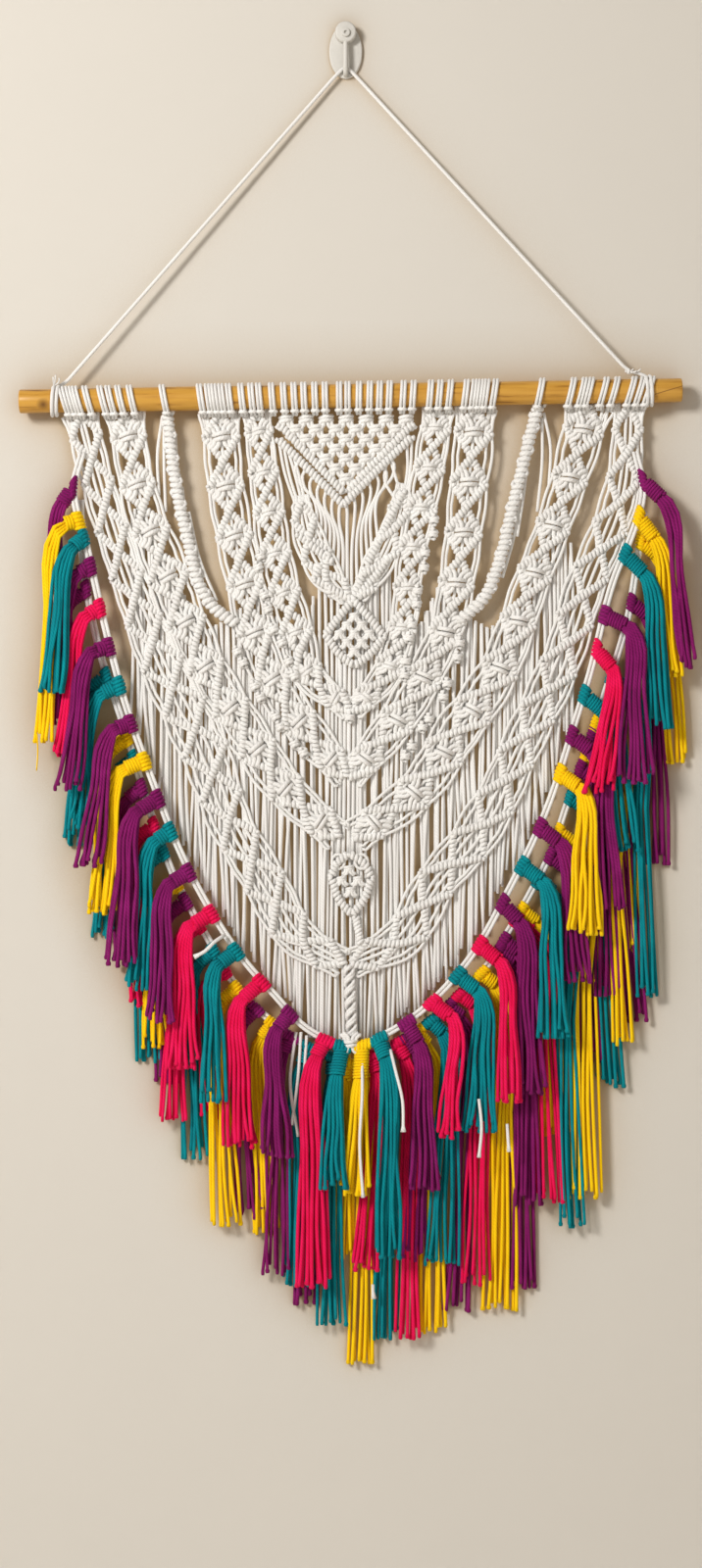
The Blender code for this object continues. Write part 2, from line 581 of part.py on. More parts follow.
def make_fringe(folder, material):
    """A comb: straight strands hanging from a narrow strip behind the bands."""
    top_x, top_z = np.array(FRINGE_TOP, float).T
    foot_x, foot_z = np.array(FRINGE_FOOT, float).T
    count = int((top_x[-1] - top_x[0]) // FRINGE_PITCH)
    turn_foot, turn_left, turn_right = FRINGE_TURNS
    lower = []
    for i in range(count):
        left = top_x[0] + i * FRINGE_PITCH
        right = left + FRINGE_STRAND
        foot = np.interp(left, foot_x, foot_z) + FRINGE_UNEVEN * math.sin(turn_foot * i)
        root_left = np.interp(left, top_x, top_z) - FRINGE_STRIP - FRINGE_ROOTS * math.sin(turn_left * i)
        root_right = np.interp(right, top_x, top_z) - FRINGE_STRIP - FRINGE_ROOTS * math.cos(turn_right * i)
        lower += [(left, root_left), (left, foot), (right, foot), (right, root_right)]
    last_x = lower[-1][0]
    upper = [(x, z) for x, z in FRINGE_TOP if x < last_x] + [(last_x, np.interp(last_x, top_x, top_z))]
    flat_solid("background_fringe", [lower + upper[::-1]], FRINGE_FRONT, FRINGE_BACK, folder, material)


def tassel_routes(head, neck, foot_x, width, foot_z, layer_y):
    """The head as one tube over the garland, and the locks that fall from its end."""
    out = (neck - head).normalized()
    head_route = [(tuple(head - out * HEAD_OVERHANG), HEAD_RADIUS * HEAD_TAPER),
                  (tuple(neck), HEAD_RADIUS)]
    across = Vector((out.z, 0.0, -out.x)).normalized()
    spacing = width / LOCKS
    lock_routes = []
    for k in range(LOCKS):
        step = (LOCKS - 1) / 2 - k  # from the tail's right side to its left side
        root = neck - out * LOCK_ROOT_DEPTH + across * (-step) * LOCK_ROOTS
        bend = Vector((neck.x + out.x * LOCK_BEND[0] + step * spacing * LOCK_BEND_SPREAD,
                       neck.y * (1 - LAYER_AT_BEND) + layer_y * LAYER_AT_BEND,
                       neck.z - LOCK_BEND[1] + out.x * step * LOCK_BEND_RISE))
        uneven = LOCK_UNEVEN * abs(math.sin(LOCK_UNEVEN_TURN * k + foot_x))
        foot = Vector((foot_x + step * spacing, layer_y, foot_z + uneven))
        radius = spacing * LOCK_SPREAD
        lock_routes.append([(tuple(root), LOCK_ROOT_RADIUS), (tuple(bend), radius * LOCK_BEND_RADIUS),
                            (tuple(foot), radius)])
    return head_route, lock_routes


def make_front_row(folder, cutters, materials):
    line = smooth(FRONT_GARLAND, 34)
    tubes("front_garland", [[(tuple(p), GARLAND_RADIUS) for p in line]], folder, 4, materials["cotton"])
    clearance = tubes("garland_clearance", [[(tuple(p), GARLAND_RADIUS + 1.5 * GAP) for p in line]],
                      cutters, 4)
    fine = smooth(FRONT_GARLAND, 400)
    for i, row in enumerate(FRONT_TASSELS):
        colour, head_x, head_z, neck_x, neck_z, foot_x, width, foot_z, layer = row
        head = Vector(fine[np.argmin(np.hypot(fine[:, 0] - head_x, fine[:, 2] - head_z))])
        neck_y = head.y * (1 - LAYER_AT_NECK) + LAYERS[layer] * LAYER_AT_NECK
        neck = Vector((neck_x, neck_y, neck_z))
        head_route, locks = tassel_routes(head, neck, foot_x, width, foot_z, LAYERS[layer])
        name = f"tassel_{i + 1:02d}_{colour}"
        tassel = tubes(name, [head_route], folder, 4, materials[colour])
        combine(tassel, "UNION", tubes(name + "_locks", locks, cutters, 3))
        combine(tassel, "DIFFERENCE", clearance)


def make_back_row(name, garland, table, folder, cutters, materials):
    line = smooth(garland, 14)
    row = tubes(name, [[(tuple(p), BACK_GARLAND_RADIUS) for p in line]], folder, 4, materials["purple"])
    fine = smooth(garland, 400)
    heads, locks = [], [[], []]
    for colour, head_x, foot_x, width, foot_z, layer in table:
        head = Vector(fine[np.argmin(np.abs(fine[:, 0] - head_x))])
        outward = -1 if garland[0][0] < 0 else 1
        steep = min(1.0, abs(head_x) / BACK_STEEP_FROM)
        down = BACK_NECK[1] + BACK_NECK_DROP * (1 - steep)
        neck = head + Vector((outward * BACK_NECK[0] * steep, 0.0, -down))
        neck.y += (LAYERS[layer] - head.y) * BACK_NECK_LEAN
        head_route, lock_routes = tassel_routes(head, neck, foot_x, width, foot_z, LAYERS[layer])
        heads.append([(point, radius * BACK_HEAD_SHARE) for point, radius in head_route])
        locks[layer] += [[(root, BACK_ROOT_RADIUS), foot] for (root, _), _, foot in lock_routes]
    combine(row, "UNION", tubes(name + "_heads", heads, cutters, 4), "MANIFOLD")
    for layer, routes in enumerate(locks):
        combine(row, "UNION", tubes(f"{name}_locks_{layer}", routes, cutters, 3), "MANIFOLD")


def main():
    folder, cutters = start_scene()
    materials = make_materials()
    make_hook(folder, cutters, materials["hook"])
    make_rod(folder, materials["wood"])
    make_cord(folder, materials["cotton"])
    make_web(folder, cutters, materials["cotton"])
    make_fringe(folder, materials["cotton"])
    make_front_row(folder, cutters, materials)
    make_back_row("back_row_left", BACK_GARLAND_LEFT, BACK_TASSELS_LEFT, folder, cutters, materials)
    make_back_row("back_row_right", BACK_GARLAND_RIGHT, BACK_TASSELS_RIGHT, folder, cutters, materials)


main()
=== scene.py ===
import functools
import math

import bpy
import numpy as np
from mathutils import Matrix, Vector


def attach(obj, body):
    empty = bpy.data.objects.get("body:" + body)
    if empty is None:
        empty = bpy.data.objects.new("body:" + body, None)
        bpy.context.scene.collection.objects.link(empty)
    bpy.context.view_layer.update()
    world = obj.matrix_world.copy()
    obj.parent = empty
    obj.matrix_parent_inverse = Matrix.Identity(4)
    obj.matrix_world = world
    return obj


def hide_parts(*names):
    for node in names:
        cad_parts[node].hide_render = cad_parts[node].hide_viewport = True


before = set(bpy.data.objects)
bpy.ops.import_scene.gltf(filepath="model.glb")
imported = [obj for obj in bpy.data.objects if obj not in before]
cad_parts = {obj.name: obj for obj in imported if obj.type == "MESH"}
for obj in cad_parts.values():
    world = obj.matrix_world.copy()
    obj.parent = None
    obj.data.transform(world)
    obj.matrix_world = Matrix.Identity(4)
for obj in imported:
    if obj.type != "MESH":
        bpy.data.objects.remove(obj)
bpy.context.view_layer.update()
mm = 0.001
draw = np.random.default_rng(7).uniform

# rod and the depths that every piece hangs at, in millimetres
rodFacts = {"x": 6.0, "y": -21.0, "z": -420.8, "length": 800.0, "radius": 14.25, "tilt": math.radians(0.98)}
webDepth = -14.0
overDepth = -15.9


def rodHeight(x):
    return rodFacts["z"] + (x - rodFacts["x"]) * math.tan(rodFacts["tilt"])


def distances(points):
    # how far along the line each point is
    return np.concatenate([[0], np.cumsum(np.linalg.norm(np.diff(points, axis=0), axis=1))])


def lineLength(points):
    return float(distances(np.array(points, float))[-1])


def unit(rows):
    return rows / np.linalg.norm(rows, axis=-1, keepdims=True)


def smoothLine(stations, count, fineness=30):
    # evenly spaced points of a smooth curve through the stations, whatever their columns are
    rows = np.array(stations, float)
    at = distances(rows)
    slope = np.gradient(rows, at, axis=0)
    fine = np.linspace(0, at[-1], fineness * len(rows))
    i = np.clip(np.searchsorted(at, fine, side="right") - 1, 0, len(at) - 2)
    span = (at[i + 1] - at[i])[:, None]
    t = (fine - at[i])[:, None] / span
    line = ((2 * t**3 - 3 * t**2 + 1) * rows[i] + (t**3 - 2 * t**2 + t) * span * slope[i]
            + (3 * t**2 - 2 * t**3) * rows[i + 1] + (t**3 - t**2) * span * slope[i + 1])
    along = distances(line)
    even = np.linspace(0, along[-1], count)
    return np.stack([np.interp(even, along, column) for column in line.T], axis=1)


def evenly(points, step):
    # a smooth line with a point about every step
    return smoothLine(points, max(3, int(lineLength(points) / step) + 1))


ringTurns = np.linspace(0, 2 * math.pi, 12)


def atDepth(points, depth):
    return [(x, depth, z) for x, z in points]


def sideways(line):
    # at each point of a line: a direction toward the viewer and one across
    ahead = unit(np.gradient(line, axis=0))
    front = unit(ahead * ahead[:, 1:2] - (0.0, 1.0, 0.0))
    return front, np.cross(ahead, front)


def coil(points, reach, pitch, hand=1, perTurn=8, start=0.0, flat=1.0):
    # a strand wound round a line; reach is one number, or a row of them along the line
    turns = max(1.0, lineLength(points) / pitch)
    line = smoothLine(points, int(turns * perTurn) + 1)
    front, across = sideways(line)
    share = np.linspace(0, 1, len(line))
    turn = hand * (start + 2 * math.pi * turns * share)
    reach = np.atleast_1d(reach)
    out = np.interp(share, np.linspace(0, 1, len(reach)), reach)
    return line + front * (np.cos(turn) * out * flat)[:, None] + across * (np.sin(turn) * out)[:, None]


def pickNone():
    bpy.ops.object.select_all(action="DESELECT")


def pick(piece):
    pickNone()
    piece.select_set(True)
    bpy.context.view_layer.objects.active = piece


def setMode(mode):
    bpy.ops.object.mode_set(mode=mode)


def cleanMesh(gap):
    # joins corners that meet and turns the faces outward
    setMode("EDIT")
    bpy.ops.mesh.select_all(action="SELECT")
    bpy.ops.mesh.remove_doubles(threshold=gap)
    bpy.ops.mesh.normals_make_consistent(inside=False)
    setMode("OBJECT")


def tubes(name, strands, sides):
    # strands are (points, radius), where radius is one number or one for each point
    curve = bpy.data.curves.new(name, "CURVE")
    curve.dimensions = "3D"
    curve.bevel_depth = mm
    curve.bevel_resolution = sides // 2 - 2
    curve.use_fill_caps = True
    for points, radius in strands:
        spline = curve.splines.new("POLY")
        spline.points.add(len(points) - 1)
        spline.points.foreach_set("co", np.c_[np.array(points, float) * mm, np.ones(len(points))].ravel())
        spline.points.foreach_set("radius", np.broadcast_to(np.array(radius, float), len(points)).copy())
    piece = bpy.data.objects.new(name, curve)
    bpy.context.scene.collection.objects.link(piece)
    pick(piece)
    bpy.ops.object.convert(target="MESH")
    return bpy.context.object


def strandPiece(name, strands, material, nodes=(), sides=6):
    piece = tubes(name, strands, sides)
    mesh = piece.data
    # the map's V runs along the strand, in millimetres
    size = np.zeros(len(mesh.polygons), int)
    mesh.polygons.foreach_get("loop_total", size)
    onSide = np.repeat(size == 4, size)
    flat = np.zeros(len(mesh.loops) * 2, np.float32)
    mesh.uv_layers[0].data.foreach_get("uv", flat)
    flat = flat.reshape(-1, 2)
    flat[onSide] = flat[onSide, ::-1]
    counts = [(len(points) - 1) * sides * 4 for points, _ in strands]
    flat[onSide, 1] *= np.repeat([lineLength(points) for points, _ in strands], counts)
    mesh.uv_layers[0].data.foreach_set("uv", flat.ravel())
    cleanMesh(0.002 * mm)
    mesh.shade_smooth()
    finishPiece(piece, material, nodes)
    return piece


def cottonPiece(name, strands, nodes=(), sides=6):
    return strandPiece(name, strands, yarn["cotton"], nodes, sides)


def finishPiece(piece, material, nodes):
    piece.data.materials.clear()
    piece.data.materials.append(material)
    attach(piece, "root")
    if nodes:
        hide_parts(*nodes)


def newGroup(name, settings, outputs):
    group = bpy.data.node_groups.new(name, "ShaderNodeTree")
    newSocket = group.interface.new_socket
    newSocket("Vector", in_out="INPUT", socket_type="NodeSocketVector")
    for label, value in settings.items():
        newSocket(label, in_out="INPUT", socket_type="NodeSocketFloat").default_value = value
    for label in outputs:
        newSocket(label, in_out="OUTPUT", socket_type="NodeSocketFloat")
    return group, group.nodes.new("NodeGroupInput").outputs, group.nodes.new("NodeGroupOutput")


def feed(tree, socket, value):
    # a socket takes a link from another one, or a fixed value
    if isinstance(value, bpy.types.NodeSocket):
        tree.links.new(value, socket)
    else:
        socket.default_value = (*value, 1.0) if socket.type == "RGBA" else value


def feedAll(tree, node, **inputs):
    for label, value in inputs.items():
        feed(tree, node.inputs[label.replace("_", " ")], value)


def addNode(tree, kind, **inputs):
    node = tree.nodes.new("ShaderNode" + kind)
    feedAll(tree, node, **inputs)
    return node


def addMath(tree, operation, *terms):
    node = addNode(tree, "Math")
    node.operation = operation
    for socket, term in zip(node.inputs, terms):
        feed(tree, socket, term)
    return node.outputs[0]


def mathsOf(tree):
    calc = functools.partial(addMath, tree)
    return calc, *(functools.partial(calc, operation) for operation in ("ADD", "SUBTRACT", "MULTIPLY"))


def mixColour(tree, amount, first, second):
    node = addNode(tree, "Mix")
    node.data_type = "RGBA"
    node.clamp_factor = True
    for index, value in ((0, amount), (6, first), (7, second)):
        feed(tree, node.inputs[index], value)
    return node.outputs[2]


def placeGroup(tree, group, vector):
    node = addNode(tree, "Group")
    node.node_tree = group
    feedAll(tree, node, Vector=vector)
    return node.outputs


def makePlyGroup(name, pitch, ways, sharp):
    # plies wound round a strand, one way or both as in a braid: their height, and a mask of the furrows
    # between them for painted shade
    group, given, end = newGroup(name, {"Pitch": pitch, "Plies": 3.0}, ("Height", "Furrow"))
    calc, _, less, times = mathsOf(group)
    place = addNode(group, "SeparateXYZ", Vector=given["Vector"]).outputs
    along = calc("DIVIDE", place["Y"], given["Pitch"])
    waves = []
    for way in ways:
        phase = times(calc(way, along, place["X"]), given["Plies"])
        waves.append(calc("ABSOLUTE", calc("SINE", times(phase, math.pi))))
    height = calc("MINIMUM", waves[0], waves[-1])
    feedAll(group, end, Height=height, Furrow=calc("POWER", less(1.0, height), sharp))
    return group


def makeFuzzGroup():
    # loose fibres: fine noise for height, broad noise for tone
    group, given, end = newGroup("cottonFuzz", {"Size": 1.0}, ("Height", "Tone"))
    for label, scale, detail in (("Height", 1400.0, 3.0), ("Tone", 42.0, 2.0)):
        noise = addNode(group, "TexNoise", Vector=given["Vector"], Detail=detail,
                        Scale=addMath(group, "DIVIDE", scale, given["Size"]))
        feed(group, end.inputs[label], noise.outputs["Fac"])
    return group


def newMaterial(name, roughness, sheen=0.0, gloss=0.3):
    material = bpy.data.materials.new(name)
    material.use_nodes = True
    tree = material.node_tree
    shader = tree.nodes["Principled BSDF"]
    feedAll(tree, shader, Roughness=roughness, Specular_IOR_Level=gloss, Sheen_Weight=sheen,
            Sheen_Roughness=0.5)
    return material, tree, shader, addNode(tree, "TexCoord").outputs


def addBump(tree, shader, height, strength, distance):
    bump = addNode(tree, "Bump", Strength=strength, Distance=distance, Height=height)
    feedAll(tree, shader, Normal=bump.outputs["Normal"])


def cottonMaterial(name, facts, plies):
    colour, shade, light, sheen, furrowShade = facts
    material, tree, shader, place = newMaterial(name, 0.88, sheen, 0.15)
    _, add, less, times = mathsOf(tree)
    twist = placeGroup(tree, plies, place["UV"])
    fibre = placeGroup(tree, fuzzGroup, place["Object"])
    tone = times(less(fibre["Tone"], 0.4), 2.2)
    toned = mixColour(tree, tone, colour, light)
    # painted shade: the colour is darkened in the furrows between the plies
    furrowShaded = mixColour(tree, times(twist["Furrow"], furrowShade), toned, shade)
    feedAll(tree, shader, Base_Color=furrowShaded)
    addBump(tree, shader, add(twist["Height"], times(fibre["Height"], 0.6)), 0.5, 0.5 * mm)
    return material


fuzzGroup = makeFuzzGroup()
twistGroup = makePlyGroup("strandTwist", 11.0, ["ADD"], 3.0)
braidGroup = makePlyGroup("cordBraid", 9.0, ["ADD", "SUBTRACT"], 4.0)
# colour, painted shade colour in the furrows, colour of the palest fibres, sheen, and how much painted shade
# the furrows get
finishes = {
    "cotton": ((0.80, 0.785, 0.765), (0.51, 0.465, 0.41), (0.86, 0.855, 0.84), 0.12, 0.35),
    "purple": ((0.205, 0.006, 0.108), (0.06, 0.002, 0.036), (0.30, 0.012, 0.165), 0.04, 0.7),
    "yellow": ((0.93, 0.59, 0.002), (0.66, 0.36, 0.001), (0.98, 0.66, 0.006), 0.03, 0.5),
    "teal": ((0.0, 0.215, 0.255), (0.0, 0.085, 0.11), (0.0, 0.30, 0.34), 0.02, 0.6),
    "pink": ((0.77, 0.003, 0.075), (0.38, 0.001, 0.035), (0.88, 0.010, 0.12), 0.03, 0.6),
}
yarn = {name: cottonMaterial(name + "Yarn", facts, twistGroup) for name, facts in finishes.items()}
braided = cottonMaterial("braidedCord", finishes["cotton"], braidGroup)


def makeWood():
    # knot is a place, crack a line's start and rise; sharp is how fast each fades away from it
    wood = {"pale": (0.62, 0.335, 0.058), "deep": (0.43, 0.195, 0.024), "dark": (0.10, 0.035, 0.010),
            "knot": (-0.364, -0.035, -0.4335), "knotSharp": 110.0, "crack": (0.3725, -0.4207, 0.30),
            "crackSharp": 1300.0, "stretch": (9.0, 120.0, 120.0), "broad": 0.45, "streaks": 0.8}
    material, tree, shader, place = newMaterial("varnishedWood", 0.36, gloss=0.22)
    calc, _, less, times = mathsOf(tree)
    feedAll(tree, shader, Coat_Weight=0.14, Coat_Roughness=0.25)
    stretch = addNode(tree, "Mapping", Vector=place["Object"], Scale=wood["stretch"])
    grain = addNode(tree, "TexNoise", Vector=stretch.outputs["Vector"], Scale=1.6, Detail=6.0).outputs["Fac"]
    broad = addNode(tree, "TexNoise", Vector=place["Object"], Scale=14.0).outputs["Fac"]
    lines = times(less(grain, 0.42), 2.6)
    base = mixColour(tree, lines, wood["pale"], wood["deep"])
    toned = mixColour(tree, times(broad, wood["broad"]), base, wood["deep"])
    away = addNode(tree, "VectorMath")
    away.operation = "DISTANCE"
    feed(tree, away.inputs[0], place["Object"])
    feed(tree, away.inputs[1], wood["knot"])
    knot = less(1.0, times(away.outputs["Value"], wood["knotSharp"]))
    streaks = times(less(grain, 0.60), 7.0)
    split = addNode(tree, "SeparateXYZ", Vector=place["Object"]).outputs
    crackX, crackZ, rise = wood["crack"]
    rising = times(less(split["X"], crackX), rise)
    offLine = calc("ABSOLUTE", less(less(split["Z"], crackZ), rising))
    crack = times(less(1.0, times(offLine, wood["crackSharp"])), calc("GREATER_THAN", split["X"], crackX))
    marks = calc("MAXIMUM", calc("MAXIMUM", knot, calc("MAXIMUM", crack, 0.0)),
                 times(calc("MAXIMUM", streaks, 0.0), wood["streaks"]))
    feedAll(tree, shader, Base_Color=mixColour(tree, marks, toned, wood["dark"]))
    addBump(tree, shader, grain, 0.25, 0.6 * mm)
    return material


def makePaint():
    paint = {"light": (0.62, 0.60, 0.56), "dark": (0.55, 0.53, 0.49)}
    material, tree, shader, place = newMaterial("paintedMetal", 0.42)
    noise = addNode(tree, "TexNoise", Vector=place["Object"], Scale=260.0, Detail=4.0).outputs["Fac"]
    feedAll(tree, shader, Base_Color=mixColour(tree, noise, paint["light"], paint["dark"]))
    addBump(tree, shader, noise, 0.12, 0.3 * mm)
    return material


def makeCamera():
    view = {"x": 0.0065, "z": -0.890, "distance": 3.4, "hangingFront": 0.02, "height": 1.896, "sensor": 24.0}
    bpy.ops.object.camera_add(location=(view["x"], -view["distance"], view["z"]),
                              rotation=(math.radians(90), 0.0, 0.0))
    camera = bpy.context.object
    camera.data.sensor_fit = "VERTICAL"
    camera.data.sensor_height = view["sensor"]
    camera.data.lens = view["sensor"] * (view["distance"] - view["hangingFront"]) / view["height"]
    bpy.context.scene.camera = camera


makeCamera()

hanging = {
    "radius": 2.25, "wrapRadius": 17.8, "wrapTurns": 1.7, "wrapPitch": 5.2, "wrapPoints": 10,
    "leftLeg": [(-346.5, -21.0, 17.8), (-341.0, -20.6, 20.6), (-335.0, -20.2, 25.5)],
    "rightLeg": [(335.0, -20.2, 31.0), (344.0, -20.5, 23.4), (353.5, -20.8, 21.6), (362.0, -21.0, 17.8)],
    "top": [(-18.0, -7.8, -37.0), (-9.0, -7.5, -27.2), (-3.5, -7.4, -22.0), (0.0, -7.4, -20.4),
            (3.5, -7.4, -22.0), (9.0, -7.5, -27.2), (18.0, -7.8, -37.0)],
    "legPoints": 10,
}


def cordRoute():
    def wrap(startX, toward):
        turns = []
        for i in range(int(hanging["wrapTurns"] * hanging["wrapPoints"]) + 1):
            turn = 2 * math.pi * i / hanging["wrapPoints"]
            x = startX + toward * hanging["wrapPitch"] * i / hanging["wrapPoints"]
            turns.append((x, rodFacts["y"] - hanging["wrapRadius"] * math.sin(turn),
                          rodHeight(x) + hanging["wrapRadius"] * math.cos(turn)))
        return turns

    def straight(start, end):
        count = hanging["legPoints"]
        return [tuple(Vector(start).lerp(Vector(end), i / (count + 1))) for i in range(1, count + 1)]

    left = [(x, y, rodHeight(x) + above) for x, y, above in hanging["leftLeg"]]
    right = [(x, y, rodHeight(x) + above) for x, y, above in hanging["rightLeg"]]
    top = hanging["top"]
    return (wrap(left[0][0], -1)[:0:-1] + left + straight(left[-1], top[0]) + top
            + straight(top[-1], right[0]) + right + wrap(right[-1][0], 1)[1:])


route = cordRoute()
# a fray's root, its bend as seen from the tip, its radius and the tips
frays = [((-352.5, -24, rodHeight(-352) + 17.5), (0, 2, -3), 1.0,
          [(-352, -34, -400), (-349, -37, -398), (-345, -33, -401)]),
         ((344, -22, rodHeight(344) + 24), (-2, 2, -2), 0.8,
          [(347, -27, -389), (351, -27, -391), (356, -27, -389)])]
frayStrands = [(evenly([root, np.add(tip, bend), tip], 2.5), radius)
               for root, bend, radius, tips in frays for tip in tips]
knotLine = [(339, -21, rodHeight(339) + 25), (345, -21, rodHeight(345) + 22)]
cordEnds = cottonPiece("cordEnds", frayStrands + [(coil(knotLine, (1.5, 2.6, 1.5), 3.2), 1.7)])
cordPiece = strandPiece("hangingCord", [(route, hanging["radius"])], braided, ["hanging_cord"], 8)
print("hanging cord", round(lineLength(route)), "mm")


def makeRod(material):
    # a natural rod is never quite round; a swell is its size, its rate along the rod and its start
    facts = {"bevel": 1.6, "rings": 26, "swells": ((0.012, 23.0, 0.0), (0.008, 61.0, 1.0))}
    half = rodFacts["length"] / 2 * mm
    pickNone()
    bpy.ops.mesh.primitive_cylinder_add(vertices=40, radius=rodFacts["radius"] * mm, depth=2 * half)
    rod = bpy.context.object
    rod.name = rod.data.name = "dowelRod"
    setMode("EDIT")
    for i in range(1, facts["rings"]):
        bpy.ops.mesh.select_all(action="SELECT")
        height = -half + 2 * half * i / facts["rings"]
        bpy.ops.mesh.bisect(plane_co=(0, 0, height), plane_no=(0, 0, 1))
    setMode("OBJECT")
    for edge in rod.data.edges:
        heights = [rod.data.vertices[v].co.z for v in edge.vertices]
        edge.select = all(abs(abs(z) - half) < 0.01 * mm for z in heights)
    setMode("EDIT")
    bpy.ops.mesh.select_mode(type="EDGE")
    bpy.ops.mesh.bevel(offset=facts["bevel"] * mm, segments=3)
    setMode("OBJECT")
    for corner in rod.data.vertices:
        swell = 1.0 + sum(big * math.sin(corner.co.z * rate + start) for big, rate, start in facts["swells"])
        corner.co.x *= swell
        corner.co.y *= swell
    rod.rotation_euler = (0.0, math.radians(90) - rodFacts["tilt"], 0.0)
    rod.location = Vector((rodFacts["x"], rodFacts["y"], rodFacts["z"])) * mm
    pick(rod)
    bpy.ops.object.transform_apply(location=True, rotation=True, scale=True)
    bpy.ops.object.shade_smooth_by_angle(angle=math.radians(35))
    finishPiece(rod, material, ["rod"])


makeRod(makeWood())


def selectFront(item):
    # leaves the face nearest the viewer selected in edit mode
    face = min(item.data.polygons, key=lambda f: f.center.y).index
    setMode("EDIT")
    bpy.ops.mesh.select_mode(type="FACE")
    bpy.ops.mesh.select_all(action="DESELECT")
    setMode("OBJECT")
    item.data.polygons[face].select = True
    setMode("EDIT")


def drum(radius, back, front, z, bevel, wide, tall):
    pickNone()
    bpy.ops.mesh.primitive_cylinder_add(vertices=48, radius=radius * mm, depth=(back - front) * mm,
                                        location=(0, (back + front) / 2 * mm, z * mm),
                                        rotation=(math.radians(90), 0, 0))
    item = bpy.context.object
    item.scale = (wide, tall, 1.0)
    bpy.ops.object.transform_apply(location=True, rotation=True, scale=True)
    selectFront(item)
    bpy.ops.mesh.bevel(offset=bevel * mm, segments=4)
    setMode("OBJECT")
    return item


def makeHook(material):
    # a drum is its radius, back, front, height, bevel and how much it is widened and made taller
    hook = {"plate": (1.0, 0.0, -4.0, 0.0, 1.6, 20.2, 33.0), "knob": (12.9, -1.5, -16.0, 21.3, 2.6, 1.0, 1.0),
            "post": (5.2, -5.0, -19.0, 19.8, 0.7, 1.0, 1.0), "recess": 2.4, "tongueRadius": 3.0,
            "tongue": [(0, -12.5, 14.0), (0, -13.8, -6.0), (0, -13.8, -20.0), (0, -11.5, -27.0),
                       (0, -2.5, -29.0)]}
    parts = [drum(*hook[name]) for name in ("plate", "knob", "post")]
    selectFront(parts[-1])
    bpy.ops.mesh.inset(thickness=hook["recess"] * mm)
    bpy.ops.mesh.extrude_region_move(TRANSFORM_OT_translate={"value": (0, hook["recess"] * mm, 0)})
    setMode("OBJECT")
    parts.append(tubes("tongue", [(smoothLine(hook["tongue"], 16), hook["tongueRadius"])], 12))
    for item in parts:
        item.select_set(True)
    bpy.context.view_layer.objects.active = parts[0]
    bpy.ops.object.join()
    whole = bpy.context.object
    whole.name = whole.data.name = "wallHook"
    cleanMesh(0.01 * mm)
    bpy.ops.object.shade_smooth_by_angle(angle=math.radians(35))
    finishPiece(whole, material, ["wall_hook"])


makeHook(makePaint())
print("rod and hook")

loopPlaces = [-339.5, -331.2, -323.5, -311.1, -293.3, -283.8, -272.0, -258.3, -219.2, -174.8, -165.3,
              -157.6, -149.3, -140.4, -125.5, -113.6, -104.3, -88.9, -74.7, -62.2, -50.4, -37.3, -24.9,
              -7.7, 2.4, 16.0, 29.0, 40.9, 52.7, 69.3, 81.2, 101.8, 113.2, 125.5, 144.5, 153.9, 161.5,
              168.9, 179.1, 234.5, 272.0, 285.0, 293.3, 311.1, 324.1, 344.2, 354.9, 365.6]
# bar points are a share across, a depth and a height over the bar's own level
loop = {
    "strand": 1.95, "gap": 0.3, "apart": 4.05, "lean": 10.0, "leanAt": 350.0, "from": -62.0, "turn": 296.0,
    "steps": 14, "footApart": 0.9, "footLean": 0.55, "drop": 5.5, "barStrand": 2.3, "barWide": 3.8,
    "barDown": 1.6,
    "bar": ((-1, -22.0, 0.8), (-0.8, -27.0, 0.3), (0, -29.5, 0), (0.8, -27.0, 0.3), (1, -22.0, 0.8)),
}


def rodLoops():
    strands = []
    reach = rodFacts["radius"] + loop["strand"] + loop["gap"]
    for place in loopPlaces:
        lean = -loop["lean"] * place / loop["leanAt"]
        for side in (-0.5, 0.5):
            foot = place + side * loop["apart"] * loop["footApart"] + lean * loop["footLean"]
            points = [(foot, rodFacts["y"] + 2.0, rodHeight(place) - reach - loop["drop"])]
            for i in range(loop["steps"] + 1):  # from the front of the rod's underside over its top
                turn = math.radians(loop["from"] + loop["turn"] * i / loop["steps"])
                x = place + side * loop["apart"] - lean * 0.5 * math.sin(turn)
                y = rodFacts["y"] - reach * math.cos(turn)
                points.append((x, y, rodHeight(x) + reach * math.sin(turn)))
            strands.append((points, loop["strand"]))
        middle = place + lean * 0.5
        z = rodHeight(middle) - reach - loop["barDown"]
        points = [(middle + share * loop["barWide"], y, z + up) for share, y, up in loop["bar"]]
        strands.append((points, loop["barStrand"]))
    return strands


cottonPiece("rodLoops", rodLoops(), ["macrame_web"])
print("rod loops")

# a knot is two wraps across its middle, with legs that fan out from under them
tie = {
    "strand": 2.2, "wrapWide": 6.6, "wrapFront": 1.0, "wrapBulge": 6.2, "bulgePower": 2.2, "wrapLevel": 2.1,
    "slant": 0.9, "wrapStops": (-1, -0.7, 0, 0.7, 1),
    "legs": [[(1.6, -3.0, -2.0), (2.7, -2.6, -7.0), (8.0, 0.0, -11.8)],
             [(5.0, -1.6, -1.5), (6.4, -1.6, -6.2), (11.0, 0.2, -9.8)]],
}


def turned(points, centre, ahead):
    # places a knot drawn upright at a centre, with its foot pointing along ahead
    dx, dz = ahead
    x = points[:, 0] * -dz + points[:, 2] * -dx
    z = points[:, 0] * dx + points[:, 2] * -dz
    return np.stack([x + centre[0], points[:, 1] + centre[1], z + centre[2]], axis=1)


